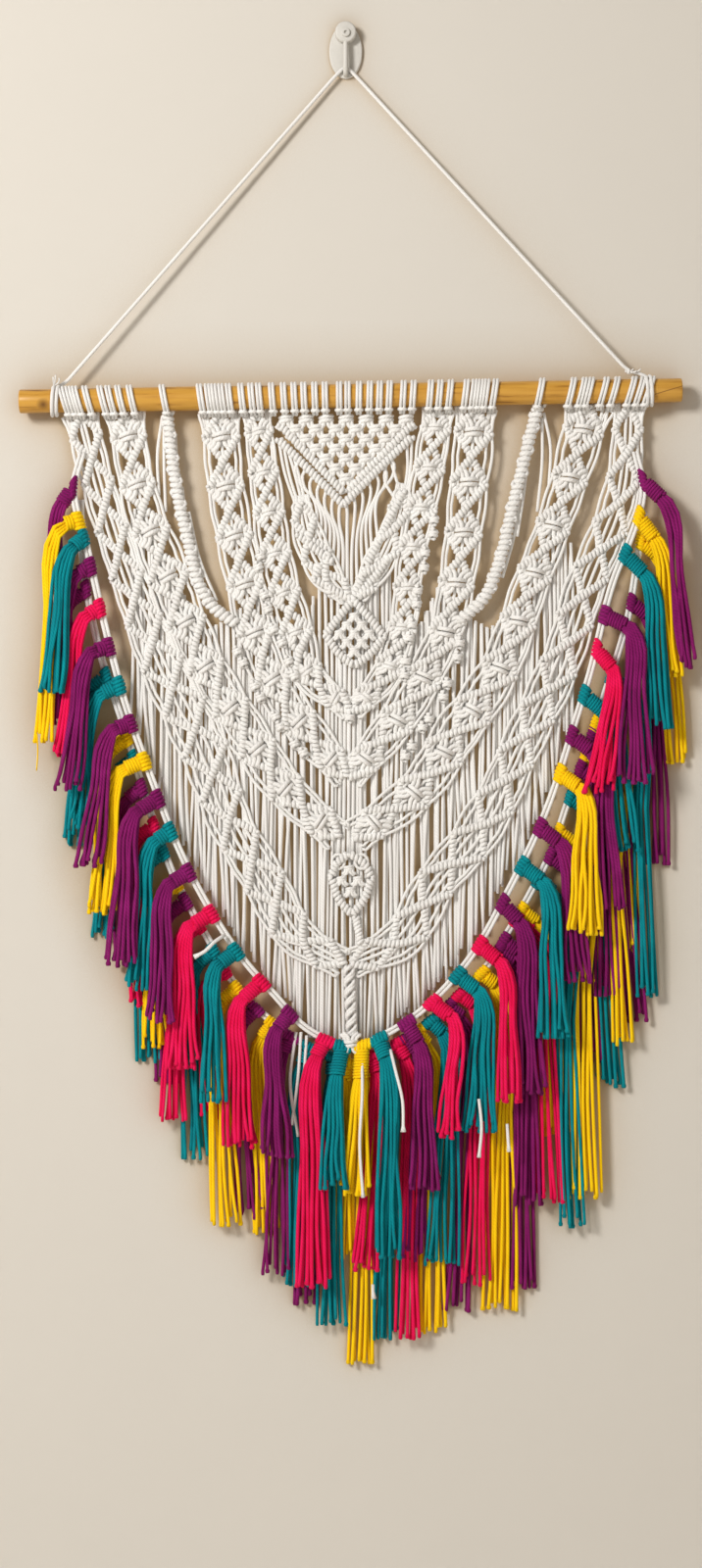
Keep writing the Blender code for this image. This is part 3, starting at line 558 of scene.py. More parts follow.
def squareKnot(centre, ahead=(0.0, -1.0), size=1.0, ways=(1,), strand=tie["strand"]):
    lines = []
    for hand in (-1, 1):
        wrap = [(u * tie["wrapWide"],
                 tie["wrapFront"] - tie["wrapBulge"] * (1 - abs(u) ** tie["bulgePower"]),
                 hand * tie["wrapLevel"] + tie["slant"] * u) for u in tie["wrapStops"]]
        lines.append(smoothLine(np.array(wrap) * size, 9))
    for way in ways:  # 1 is the legs below the knot, -1 those above it
        for side in (-1, 1):
            spread = (side * size, 1.0, way * size)
            lines += [smoothLine(np.array(leg) * spread, 6) for leg in tie["legs"]]
    return [(turned(line, centre, ahead), strand) for line in lines]


# number of crossings, what fills the diamonds, and stations with the width there
bands = {
    "outerLeft": (13, "strands", [
        (-322, -440, 38), (-294, -546, 37), (-261, -649, 41), (-219, -751, 54), (-178, -832, 58),
        (-131, -953, 50), (-95, -1013, 52), (-59, -1074, 48), (-2, -1108, 30)]),
    "secondLeft": (10, "flowers", [
        (-268, -440, 42), (-248, -546, 43), (-211, -649, 52), (-168, -751, 46), (-117, -832, 48),
        (-76, -892, 46), (-8, -955, 36)]),
    "thirdLeft": (8, "flowers", [
        (-153, -439, 44), (-143, -546, 43), (-122, -649, 43), (-112, -700, 42), (-89, -763, 44),
        (-42, -832, 42), (2, -882, 30)]),
    "innerLeft": (8, "small", [
        (-108, -438, 31), (-95, -546, 36), (-78, -649, 40), (-62, -700, 42), (-48, -751, 36),
        (6, -802, 22)]),
    "innerRight": (8, "small", [
        (113, -434, 34), (96, -537, 36), (78, -623, 32), (69, -700, 32), (47, -760, 34), (8, -802, 22)]),
    "thirdRight": (8, "flowers", [
        (158, -433, 47), (148, -537, 45), (134, -648, 42), (118, -715, 40), (89, -771, 44), (49, -832, 42),
        (4, -882, 30)]),
    "secondRight": (10, "flowers", [
        (296, -431, 52), (266, -537, 42), (224, -648, 42), (188, -748, 46), (132, -832, 52),
        (91, -892, 48), (10, -955, 36)]),
    "outerRight": (13, "strands", [
        (343, -430, 32), (334, -537, 42), (292, -648, 45), (258, -748, 47), (218, -832, 46),
        (157, -953, 52), (107, -1013, 48), (71, -1074, 48), (6, -1108, 30)]),
    "veeLeft": (3, "strands", [
        (-54, -549, 18), (-46, -588, 34), (-22, -638, 34), (4, -666, 16)]),
    "veeRight": (3, "strands", [
        (70, -535, 16), (56, -588, 30), (36, -630, 32), (14, -664, 16)]),
}
# the loose strands at the edges swing out to a share of the half width, at a lift over the web's depth
band = {
    "barEnd": 0.92, "underDepth": -12.8, "underShort": 0.08, "loose": 2.1, "shake": 0.06, "rise": 9.0,
    "edges": ((1.03, -0.6), (0.78, 1.0)), "edgeEnd": 0.93, "topOuter": (-0.9, -0.66, 0.66, 0.9),
    "topInner": (-0.3, -0.1, 0.1, 0.3), "knot": {"flowers": (1.35, 2.85), "small": (1.15, 2.5)},
    "wideBand": 40, "wideKnot": 1.5, "ring": {"flowers": (0.44, 0.62), "small": (0.36, 0.56)}, "inner": 2.3,
    "plain": 2.15, "plainPlaces": (-0.52, -0.18, 0.16, 0.50),
}
barFacts = {"strand": 2.55, "reach": 2.9, "pitch": 5.25}


def bar(points, depth, hand, size=1.0):
    line = atDepth(points, depth)
    return coil(line, barFacts["reach"] * size, barFacts["pitch"], hand, 7), barFacts["strand"]


def bandStrands(crossings, inside, stations):
    line = smoothLine(stations, 4 * crossings + 1)
    ahead = unit(np.gradient(line[:, :2], axis=0))
    made = []

    def spot(i, across):
        i = min(max(i, 0), 4 * crossings)
        (x, z, width), (dx, dz) = line[i], ahead[i]
        reach = across * width / 2
        return np.array([x - dz * reach, z + dx * reach])

    def run(points, lift, radius):
        made.append((evenly(atDepth(points, webDepth + lift), 5.0), radius))

    end, under, short = band["barEnd"], band["underDepth"], band["underShort"]
    for k in range(crossings + 1):
        top, level, foot = 4 * k - 2, 4 * k, 4 * k + 2
        left, right, nextLeft, nextRight = spot(top, -end), spot(top, end), spot(foot, -end), spot(foot, end)
        middle = spot(level, 0.0)
        over = ([right] if k else []) + [middle] + ([nextLeft] if k < crossings else [])
        made.append(bar(over, overDepth, -1))
        if k:
            made.append(bar([left, middle * (1 - short) + left * short], under, 1))
        if k < crossings:
            made.append(bar([middle * (1 - short) + nextRight * short, nextRight], under, 1))
        for side in (-1, 1):
            for share, lift in band["edges"]:
                out = side * (share + band["shake"] * draw(-1, 1))
                edge = side * band["edgeEnd"]
                run([spot(top, edge), spot(top + 1, out - side * 0.03), spot(level, out),
                     spot(foot - 1, out - side * 0.05), spot(foot, edge)], lift, band["loose"])
        if k == 0:  # straight down from the rod to the first bars
            for across in band["topOuter"]:
                start = spot(0, across) + (0.0, band["rise"])
                run([start, spot(1, across), spot(2, across * 0.95)], 0.5, band["loose"])
            for across in band["topInner"]:
                start = spot(0, across) + (0.0, band["rise"])
                run([start, spot(0, across * 0.6), spot(1, across * 0.4)], 0.8, band["loose"])
        if k == crossings:
            break
        centre = spot(foot, 0.0)  # the middle of the diamond under this crossing
        below = spot(foot + 2, 0.0)
        if inside == "strands":
            for across in band["plainPlaces"]:
                bend = across + band["shake"] * draw(-1, 1)
                run([spot(foot - 2, across * 0.45), spot(foot - 1, bend), spot(foot, bend * 1.1),
                     spot(foot + 1, bend), spot(foot + 2, across * 0.45)], 0.6, band["plain"])
            continue
        size, strand = band["knot"][inside]
        if inside == "flowers" and stations[0][2] > band["wideBand"]:
            size = band["wideKnot"]
        made += squareKnot((centre[0], webDepth - 1.0, centre[1]), tuple(ahead[foot]), size, (1, -1), strand)
        if inside == "flowers":
            for across in (-0.42, 0.0, 0.42):
                run([middle * 0.9 + centre * 0.1, spot(foot - 1, across), centre, spot(foot + 1, across),
                     below * 0.9 + centre * 0.1], 1.0, band["inner"])
        near, far = band["ring"][inside]
        for side in (-1, 1):
            run([spot(foot - 1, side * near), spot(foot, side * far), spot(foot + 1, side * near)], 0.3,
                band["inner"])
    return made


for name, facts in bands.items():
    cottonPiece("band_" + name, bandStrands(*facts), ["macrame_web"])
    print("band", name)

sinnets = {
    "left": [(-216, -440), (-210, -495), (-202, -546), (-190, -597), (-177, -649), (-160, -676),
             (-132, -696)],
    "right": [(234, -430), (222, -474), (213, -511), (202, -555), (185, -624), (168, -664), (136, -694)],
}
looseRuns = {
    "left": [[(-222, -444), (-228, -490), (-226, -540)], [(-220, -446), (-220, -500), (-218, -560)],
             [(-206, -470), (-203, -520), (-192, -580)], [(-198, -530), (-190, -590), (-172, -640)],
             [(-190, -560), (-176, -620), (-156, -668)]],
    "right": [[(240, -440), (248, -480), (246, -530)], [(238, -446), (238, -500), (232, -560)],
              [(222, -470), (218, -520), (208, -590)], [(212, -530), (204, -590), (190, -640)],
              [(204, -560), (190, -620), (168, -668)]],
}
sinnet = {"strand": 3.3, "reach": 4.9, "pitch": 6.9, "core": 4.4, "depth": -16.5, "flat": 0.8,
          "loose": 2.05, "looseDepth": -12.2, "bump": 2.3, "bumpLean": 5.5}


def sinnetStrands(key, side):
    line = atDepth(sinnets[key], sinnet["depth"])
    wound = coil(line, sinnet["reach"], sinnet["pitch"], side, 10, flat=sinnet["flat"])
    made = [(wound, sinnet["strand"]), (evenly(line, 12.0), sinnet["core"])]
    for i, (x, z) in enumerate(evenly(sinnets[key], 2 * sinnet["pitch"])):
        lean = sinnet["bumpLean"] * (-1) ** i  # small bumps at alternate sides
        bump = [(x + lean, -19.0, z + 3.5), (x + lean * 1.35, -17.5, z), (x + lean, -19.0, z - 3.5)]
        made.append((bump, sinnet["bump"]))
    for points in looseRuns[key]:  # strands that run down beside it to the next band
        made.append((evenly(atDepth(points, sinnet["looseDepth"]), 8.0), sinnet["loose"]))
    return made


cottonPiece("sinnetLeft", sinnetStrands("left", -1), ["macrame_web"])
cottonPiece("sinnetRight", sinnetStrands("right", 1), ["macrame_web"])

net = {"strand": 2.6, "size": 1.13, "middle": 0.5, "wide": 24.2, "tall": 11.85, "first": -447.9, "rows": 7,
       "columns": 4, "depth": -14.6, "top": -454.0, "tip": -536.0, "half": 80.5, "margin": 8.0}


def netStrands():
    made = []
    for row in range(net["rows"]):
        z = net["first"] - row * net["tall"]
        room = net["half"] * (z - net["tip"]) / (net["top"] - net["tip"]) - net["margin"]
        for column in range(-net["columns"], net["columns"] + 1):
            x = net["middle"] + (column + 0.5 * (row % 2)) * net["wide"]
            if abs(x) < room:
                made += squareKnot((x, net["depth"], z), size=net["size"], strand=net["strand"])
    return made


centreBars = [
    [(-80, -454), (-42, -495), (-2, -537)], [(-82, -472), (-42, -512), (-2, -552)],
    [(81, -454), (42, -494), (2, -537)], [(81, -469), (38, -510), (-4, -553)],
    [(-58, -587), (-38, -604), (-15, -622)], [(-37, -642), (-15, -655), (8, -667)],
    [(70, -534), (47, -582), (25, -626)], [(25, -626), (17, -646), (9, -666)],
    [(54, -612), (36, -638), (14, -664)], [(-30, -622), (-34, -632), (-37, -642)],
    [(9, -667), (-10, -690), (-24, -709)], [(-24, -709), (-10, -730), (10, -747)],
    [(9, -667), (30, -690), (46, -711)], [(46, -711), (30, -732), (10, -747)],
    [(4, -974), (-12, -988), (-17, -1003)], [(-17, -1003), (-8, -1030), (8, -1048)],
    [(4, -974), (24, -988), (31, -1004)], [(31, -1004), (22, -1030), (8, -1048)],
]
sideRuns = [  # strands from the ends of the net's bars to the small bands under it
    [(-81, -474), (-74, -512), (-62, -548)], [(-75, -480), (-68, -516), (-57, -551)],
    [(-69, -488), (-60, -520), (-52, -553)], [(-62, -496), (-54, -526), (-48, -556)],
    [(80, -470), (79, -504), (74, -536)], [(74, -476), (75, -508), (70, -540)],
    [(67, -482), (56, -496), (60, -516), (68, -540)], [(60, -488), (50, -502), (47, -520), (60, -545)],
]
mid = {
    "barSize": 1.12, "knot": 0.72, "loose": 2.1, "diamond": (10.5, -15.5, -686.0), "knotStep": (9.0, 10.5),
    "lowKnots": [(4, -15.0, -992), (-5, -15.0, -1005), (15, -15.0, -1005), (6, -15.0, -1018)],
    "veeLeft": [(-62, -575), (-58, -589), (-15, -624), (10, -668)],
    "veeRight": [(9, -666), (27, -624), (57, -562), (66, -548)],
    "curls": 7, "curlLeft": (-55, -498, -7), "curlRight": (53, -494, 1), "curlFoot": -552, "drawn": 0.7,
    "spiral": [(12, -15.5, -1050), (15, -16.0, -1066), (18, -15.5, -1083)],
    "tail": [(4, -17.4, -1110), (6, -17.8, -1160), (8, -17.4, -1203)], "tailTurn": 0.42,
}


def curlStrands(side):
    # strands that curl out of the net's lower bars and run down to the V
    veeX, veeZ = np.array(mid["veeLeft" if side < 0 else "veeRight"], float).T
    outX, outZ, innerX = mid["curlLeft" if side < 0 else "curlRight"]
    made = []
    for i in range(mid["curls"]):
        share = i / (mid["curls"] - 1)
        x = outX * (1 - share) + share * innerX
        z = outZ * (1 - share) + share * mid["curlFoot"]
        lowX = 4.0 + (x - 4.0) * mid["drawn"]
        low = np.interp(lowX, veeX, veeZ) + 2
        curl = side * (5.0 * (1 - share) + 1.0)
        made.append((evenly([(x, -14.0, z), (x + curl, -13.4, z - 9), (x + curl * 0.8, -12.8, z - 20),
                             (lowX * 0.95 + x * 0.05, -12.4, z * 0.6 + low * 0.4 - 6),
                             (lowX + draw(-1, 1), -12.2, low)], 5.0), mid["loose"]))
    return made


def middleStrands():
    loose, knot = mid["loose"], mid["knot"]
    made = [bar(points, overDepth, -1 if points[0][0] > points[-1][0] else 1, mid["barSize"])
            for points in centreBars]
    x, y, z = mid["diamond"]
    stepX, stepZ = mid["knotStep"]
    for row in range(5):
        wide = 2 - abs(row - 2)
        for column in range(-wide, wide + 1, 2):
            made += squareKnot((x + column * stepX, y, z - row * stepZ), size=knot)
    for place in mid["lowKnots"]:
        made += squareKnot(place, size=knot)
    made += [(evenly(atDepth(points, -13.0), 6.0), loose) for points in sideRuns]
    made += curlStrands(-1) + curlStrands(1)
    for x in (-8, -2.5, 3, 8.5, 14):  # straight strands behind the middle, top to bottom
        made.append((evenly([(x + 2, -11.5, -745), (x + 1, -11.0, -880), (x, -11.0, -975)], 18.0), loose))
    for side in (-1, 1):  # the small loops at the sides of the lower diamond's top
        ring = [(5 + side * (14 + 8 * math.cos(t)), -15.0, -984 + 9 * math.sin(t)) for t in ringTurns]
        made.append((ring, loose))
    for start in (0.0, math.pi):
        made.append((coil(mid["spiral"], 3.2, 9.0, start=start, flat=0.9), 2.3))
    turn = mid["tailTurn"]
    for start in (-turn, turn, math.pi - turn, math.pi + turn):
        made.append((coil(mid["tail"], 5.2, 27.0, perTurn=16, start=start, flat=0.75), 2.4))
    return made + squareKnot((6, -28.0, -1203), size=1.1, ways=(1, -1), strand=2.4)


cottonPiece("squareKnotNet", netStrands(), ["macrame_web"])
cottonPiece("middlePart", middleStrands(), ["macrame_web"])

berryFacts = {"size": 7.8, "lean": 1.5, "lift": 3.0, "pitch": 4.4, "strand": 2.5, "reach": (0.35, 0.62, 0.35),
              "half": 0.75}
berries = [(-103, -614), (-105.5, -627), (-98, -661), (-94, -678), (-87, -702), (-77, -718), (-69, -741),
           (-62, -759), (-131, -729), (-124, -743), (-110, -771), (-103, -785), (-85, -808), (-79, -820),
           (-62, -841), (-51, -852), (107, -570), (106, -587), (96, -610), (95, -628), (87, -656),
           (86, -672), (80, -697), (77, -713), (73, -741), (71, -758), (138, -719), (135, -736),
           (123, -768), (118, -784), (101, -811), (93, -821), (80, -844), (72, -856), (5, -809)]


def berry(x, z):
    # a small ball of one wound strand that leans with its band
    lean, high = math.copysign(berryFacts["lean"], x), berryFacts["size"] * berryFacts["half"]
    y = webDepth - berryFacts["lift"]
    stations = [(x + lean, y - 1.0, z + high), (x, y, z), (x - lean, y - 1.0, z - high)]
    reach = np.array(berryFacts["reach"]) * berryFacts["size"]
    return coil(stations, reach, berryFacts["pitch"], perTurn=9), berryFacts["strand"]


cottonPiece("berryKnots", [berry(x, z) for x, z in berries], ["macrame_web"])
print("net, sinnets and knots")

fringe = {
    "top": [
        (-262, -560), (-248, -548), (-211, -640), (-168, -700), (-140, -690), (-118, -664), (-98, -660),
        (-70, -708), (-52, -712), (-43, -700), (-38, -645), (-15, -658), (9, -670), (25, -650), (36, -641),
        (52, -620), (57, -690), (70, -700), (88, -700), (112, -650), (138, -680), (176, -700), (224, -655),
        (262, -562), (280, -620)],
    "foot": [
        (-262, -800), (-234, -868), (-201, -952), (-176, -1004), (-119, -1092), (-86, -1129), (-47, -1185),
        (5, -1215), (48, -1192), (87, -1152), (149, -1086), (196, -1004), (239, -914), (278, -796)],
    "pitch": 7.2, "spread": (0.88, 1.14), "depths": (-6.4, -10.2), "strand": 2.1, "topShake": (-3, 1),
    "footShake": (-16, 6), "sway": 4.6, "step": 26.0,
}


def fringeStrands():
    topX, topZ = np.array(fringe["top"], float).T
    footX, footZ = np.array(fringe["foot"], float).T
    made = []
    for layer, depth in enumerate(fringe["depths"]):
        x = topX[0] + 3.0 + layer * fringe["pitch"] / 2
        while x < topX[-1] - 2:
            top = np.interp(x, topX, topZ) + draw(*fringe["topShake"])
            foot = np.interp(x, footX, footZ) + draw(*fringe["footShake"])
            sway = draw(-fringe["sway"], fringe["sway"], 3)
            stations = [(x, depth, top), (x + sway[0], depth + 0.4 * sway[1], top * 0.66 + foot * 0.34),
                        (x + sway[1], depth, top * 0.3 + foot * 0.7), (x + sway[2], depth, foot)]
            made.append((evenly(stations, fringe["step"]), fringe["strand"]))
            x += fringe["pitch"] * draw(*fringe["spread"])
    return made


cottonPiece("backgroundFringe", fringeStrands(), ["background_fringe"])
print("fringe")

# the part that each one stands for, and its stations
garlands = {
    "frontGarland": ("front_garland", [
        (-318, -20.2, -488), (-328, -26, -531), (-312, -29, -603), (-291, -29, -696), (-267, -29, -788),
        (-234, -29, -883), (-201, -29, -968), (-176, -29, -1019), (-119, -29, -1107), (-86, -28, -1144),
        (-47, -26, -1185), (-12, -24.9, -1203), (8, -24.8, -1207), (22, -24.9, -1204), (48, -26, -1192),
        (87, -28, -1167), (118, -29, -1138), (149, -29, -1101), (196, -29, -1019), (239, -29, -929),
        (278, -29, -811), (293, -29, -762), (326, -29, -636), (343, -29, -595), (359, -26, -534),
        (350, -20.5, -488)]),
    "backGarlandLeft": ("back_row_left", [
        (-321, -15.5, -546), (-318, -15.5, -620), (-299, -15.5, -724), (-264, -15.5, -833),
        (-236, -15.5, -925), (-206, -15.5, -1005), (-168, -15.5, -1075), (-129, -15.5, -1139),
        (-89, -15.5, -1178), (-45, -14, -1208), (5.8, -14, -1227)]),
    "backGarlandRight": ("back_row_right", [
        (10.6, -14.2, -1227.6), (63, -14.5, -1202), (105, -15.5, -1174), (139, -15.5, -1142),
        (169, -15.5, -1113), (196, -15.5, -1070), (223, -15.5, -1023), (248, -15.5, -974),
        (266, -15.5, -920), (293, -15.5, -843), (317, -15.5, -771), (342, -15.5, -687), (350, -15.5, -640),
        (361, -15.5, -560)]),
}
garlandFacts = {"strand": 2.2, "apart": 2.3, "step": 9.0}
for name, (node, points) in garlands.items():
    line = evenly(points, garlandFacts["step"])
    across = sideways(line)[1] * garlandFacts["apart"]
    cottonPiece(name, [(side, garlandFacts["strand"]) for side in (line + across, line - across)], [node], 8)
print("garlands")

# depths of the layers, back to front; then tassels by colour: number, head x and z, neck end x and z,
# foot x, width, foot z and layer
layers = (-7.4, -18.0, -28.6, -39.2, -49.8)
frontTassels = {
    "purple": [
        (1, -326, -532, -341, -550, -350, 22, -645, 2), (4, -300, -627, -319, -634, -345, 26, -825, 2),
        (6, -280, -724, -299, -729, -332, 34, -901, 4), (8, -255, -816, -273, -822, -309, 38, -994, 4),
        (10, -225, -908, -246, -920, -268, 40, -1112, 4), (12, -185, -995, -207, -1007, -221, 36, -1180, 4),
        (16, -65, -1166, -80, -1183, -84, 40, -1341, 4), (21, 74, -1176, 86, -1200, 95, 42, -1382, 3),
        (25, 188, -1033, 206, -1053, 223, 36, -1267, 3), (27, 233, -942, 254, -958, 281, 36, -1133, 3),
        (29, 272, -831, 293, -848, 317, 44, -1044, 3), (32, 313, -686, 335, -698, 349, 48, -893, 4),
        (35, 362, -522, 379, -544, 410, 20, -754, 3)],
    "yellow": [
        (2, -320, -571, -336, -576, -362, 24, -843, 3), (9, -240, -861, -264, -871, -294, 36, -1050, 3),
        (19, 19, -1205, 18, -1243, 10, 38, -1388, 3), (28, 257, -877, 278, -892, 287, 42, -1076, 4),
        (34, 351, -566, 371, -592, 394, 26, -764, 2)],
    "teal": [
        (3, -305, -590, -326, -603, -351, 32, -784, 4), (7, -268, -771, -290, -779, -322, 24, -948, 2),
        (11, -207, -947, -225, -956, -250, 32, -1142, 3),
        (14, -129, -1089, -149, -1104, -159, 32, -1275, 4), (18, -5, -1206, -10, -1239, -14, 34, -1379, 4),
        (20, 40, -1196, 47, -1218, 51, 36, -1462, 4), (23, 134, -1120, 155, -1136, 162, 46, -1312, 3),
        (26, 212, -987, 233, -1004, 250, 40, -1198, 4), (30, 287, -783, 311, -803, 338, 36, -976, 2),
        (33, 336, -612, 357, -634, 378, 34, -827, 3)],
    "pink": [
        (5, -290, -678, -308, -685, -338, 26, -860, 3), (13, -158, -1044, -182, -1058, -196, 44, -1237, 3),
        (15, -100, -1130, -121, -1146, -126, 42, -1332, 3), (17, -22, -1197, -34, -1216, -39, 42, -1499, 3),
        (22, 103, -1153, 124, -1168, 123, 30, -1318, 4), (24, 161, -1082, 182, -1101, 198, 32, -1276, 4),
        (31, 303, -728, 318, -748, 302, 40, -904, 4)],
}
# number, head x and z on the garland, foot x, width, foot z and layer
backTassels = {
    "purple": [
        (1, -310, -653, -318, 28, -890, 1), (5, -245, -895, -264, 33, -1115, 0),
        (9, -190, -1030, -213, 34, -1257, 0), (14, -104, -1160, -117, 33, -1421, 0),
        (16, -66, -1195, -83, 35, -1487, 1), (18, -34, -1212, -48, 35, -1526, 0),
        (25, 74, -1195, 80, 37, -1470, 1), (28, 122, -1158, 135, 35, -1533, 0),
        (31, 182, -1092, 214, 38, -1505, 0), (32, 190, -1080, 223, 36, -1404, 1),
        (36, 246, -976, 291, 42, -1231, 0), (39, 282, -872, 320, 36, -1151, 1),
        (41, 296, -832, 349, 33, -1184, 0), (44, 345, -670, 378, 33, -991, 0)],
    "teal": [
        (2, -288, -760, -328, 30, -968, 0), (4, -256, -860, -294, 32, -1080, 0),
        (7, -220, -972, -238, 32, -1231, 0), (11, -158, -1092, -182, 37, -1348, 0),
        (17, -46, -1207, -60, 33, -1500, 1), (19, -14, -1220, -17, 35, -1551, 1),
        (23, 46, -1210, 47, 33, -1568, 0), (27, 102, -1176, 117, 42, -1478, 1),
        (35, 232, -1006, 275, 33, -1431, 1), (38, 270, -906, 322, 33, -1261, 0),
        (43, 320, -760, 365, 31, -1151, 1)],
    "yellow": [
        (3, -264, -833, -294, 30, -1044, 1), (8, -202, -1010, -230, 34, -1213, 1),
        (13, -130, -1137, -145, 36, -1431, 1), (15, -86, -1180, -98, 33, -1441, 0),
        (20, 0, -1225, -5, 37, -1470, 0), (21, 18, -1225, 16, 33, -1597, 0),
        (26, 84, -1188, 105, 33, -1559, 0), (30, 164, -1118, 187, 41, -1533, 0),
        (34, 212, -1043, 254, 40, -1321, 0), (37, 256, -948, 290, 45, -1395, 1),
        (40, 290, -850, 337, 31, -1209, 1), (42, 302, -818, 344, 40, -1097, 0),
        (45, 356, -596, 400, 32, -869, 0)],
    "pink": [
        (6, -232, -940, -249, 28, -1166, 1), (10, -176, -1060, -209, 33, -1301, 1),
        (12, -144, -1115, -164, 31, -1299, 0), (22, 33, -1217, 22, 35, -1482, 1),
        (24, 62, -1202, 75, 33, -1565, 1), (29, 138, -1143, 156, 38, -1500, 1),
        (33, 206, -1052, 248, 33, -1400, 1)],
}
tassel = {
    "neckRadius": 9.6, "neckFlat": 0.82, "neckStart": 7.0, "core": 0.7, "wrap": 0.83, "wrapStrand": 1.9,
    "wrapPitch": 3.5, "loops": 5, "loop": 2.65, "loopGap": 4.5, "loopRadius": 5.9, "loopOut": 1.4,
    "loopDeep": 1.1, "strand": 2.3, "steps": 13, "apart": 2.9, "root": (5.0, 5.2), "leave": (6.0, 7.4),
    "drop": (15.0, 4.0), "wander": 2.6, "fray": 15.0, "knot": 1.5, "bare": 1.12, "tip": (5.6, 2.8, 0.0),
    "frontPitch": 3.7, "frontLeast": 8, "backPitch": 4.2, "backLeast": 7, "backScale": 0.94,
}


def tasselNeck(head, neck, out, garlandAhead, scale):
    # a wound neck, and strands side by side over the garland
    radius = tassel["neckRadius"] * scale
    start = head + out * tassel["neckStart"] * scale
    wound = coil([start, (start + neck) / 2, neck + out * 1.5], radius * tassel["wrap"], tassel["wrapPitch"],
                 perTurn=12, start=draw(0, 6), flat=tassel["neckFlat"])
    core = evenly([start, (start + neck) / 2, neck], 6.0)
    made = [(core, radius * tassel["core"]), (wound, tassel["wrapStrand"])]
    for j in range(tassel["loops"]):
        place = j - (tassel["loops"] - 1) / 2
        reach = tassel["loopRadius"] * (1.0 - 0.035 * place * place + 0.05 * draw(-1, 1)) * scale
        middle = head + garlandAhead * place * tassel["loopGap"] * scale + out * tassel["loopOut"]
        front = np.array([0.0, -reach * tassel["loopDeep"], 0.0])
        ring = [middle + out * reach * math.cos(t) + front * math.sin(t) for t in ringTurns]
        made.append((ring, tassel["loop"] * scale))
    return made


def tasselStrands(head, neck, footX, width, footZ, layerY, count, garlandAhead, scale=1.0):
    out = unit(neck - head)
    across = unit(np.array([out[2], 0.0, -out[0]]))
    made = tasselNeck(head, neck, out, garlandAhead, scale)
    level = max(0.0, -out[2])  # how far the neck points down already
    rootBack, rootWide = tassel["root"]
    leaveAhead, leaveWide = tassel["leave"]
    drop, levelDrop = tassel["drop"]
    wander = tassel["wander"]
    for j in range(count):
        u = -1 + 2 * (j + 0.5) / count
        front = tassel["apart"] * (-1 if j % 2 else 1)
        shake = draw(-1, 1, 6)
        root = neck - out * rootBack - across * u * rootWide * scale
        root[1] += front * 0.6
        leave = neck + out * leaveAhead - across * u * leaveWide * scale
        leave[1] += front * 0.9 - 0.6
        bendX = leave[0] + out[0] * 7.0 + u * width * 0.12 * (1 - level)
        bendY = neck[1] * 0.45 + layerY * 0.55 + front
        bend = np.array([bendX * 0.86 + (footX + u * width / 2) * 0.14, bendY,
                         leave[2] - drop - (1 - level) * levelDrop + u * out[0] * 3.0])
        foot = np.array([footX + u * width * 0.49 + shake[0] * wander, layerY + front + shake[1] * 0.6,
                         footZ + 2.0 + tassel["fray"] * shake[2] ** 2])
        half = bend * 0.6 + foot * 0.4 + (shake[3] * wander, shake[4], 0.0)
        low = bend * 0.25 + foot * 0.75 + (shake[5] * 2.8, shake[0], 0.0)
        thick = tassel["strand"] * scale * (1.0 + 0.08 * shake[4])
        tip = thick * (tassel["knot"] if shake[1] > 0.15 else tassel["bare"])
        line = smoothLine([root, leave, bend, half, low, foot], tassel["steps"])
        line = np.vstack([line[:-1]] + [foot + (0, 0, up) for up in tassel["tip"]])
        made.append((line, [thick * 0.8] + [thick] * (tassel["steps"] - 1) + [tip, tip * 0.75]))
    return made


def garlandAt(name, x, z):
    # the garland's nearest point and its direction there
    line = evenly(garlands[name][1], 3.0)
    i = int(np.argmin(np.hypot(line[:, 0] - x, line[:, 2] - z)))
    ahead = line[min(i + 1, len(line) - 1)] - line[max(i - 1, 0)]
    return line[i], unit(ahead)


def inOrder(table):
    return sorted((number, colour, *facts) for colour, rows in table.items() for number, *facts in rows)


for number, colour, headX, headZ, neckX, neckZ, footX, width, footZ, layer in inOrder(frontTassels):
    head, ahead = garlandAt("frontGarland", headX, headZ)
    neck = np.array([neckX, head[1] * 0.6 + layers[layer] * 0.4, neckZ])
    count = max(tassel["frontLeast"], round(width / tassel["frontPitch"]))
    strands = tasselStrands(head, neck, footX, width, footZ, layers[layer], count, ahead)
    ending = f"_{number:02d}_{colour}"
    strandPiece("frontTassel" + ending, strands, yarn[colour], ["tassel" + ending])

for number, colour, headX, headZ, footX, width, footZ, layer in inOrder(backTassels):
    outward, side = (-1, "Left") if headX < 8 else (1, "Right")
    head, ahead = garlandAt("backGarland" + side, headX, headZ)
    steep = min(1.0, abs(headX) / 120.0)
    neck = head + (outward * 17.0 * steep, (layers[layer] - head[1]) * 0.25, -13.0 - 8.0 * (1 - steep))
    count = max(tassel["backLeast"], round(width / tassel["backPitch"]))
    strands = tasselStrands(head, neck, footX, width, footZ, layers[layer], count, ahead, tassel["backScale"])
    strandPiece(f"backTassel_{number:02d}_{colour}", strands, yarn[colour])
print("tassels")

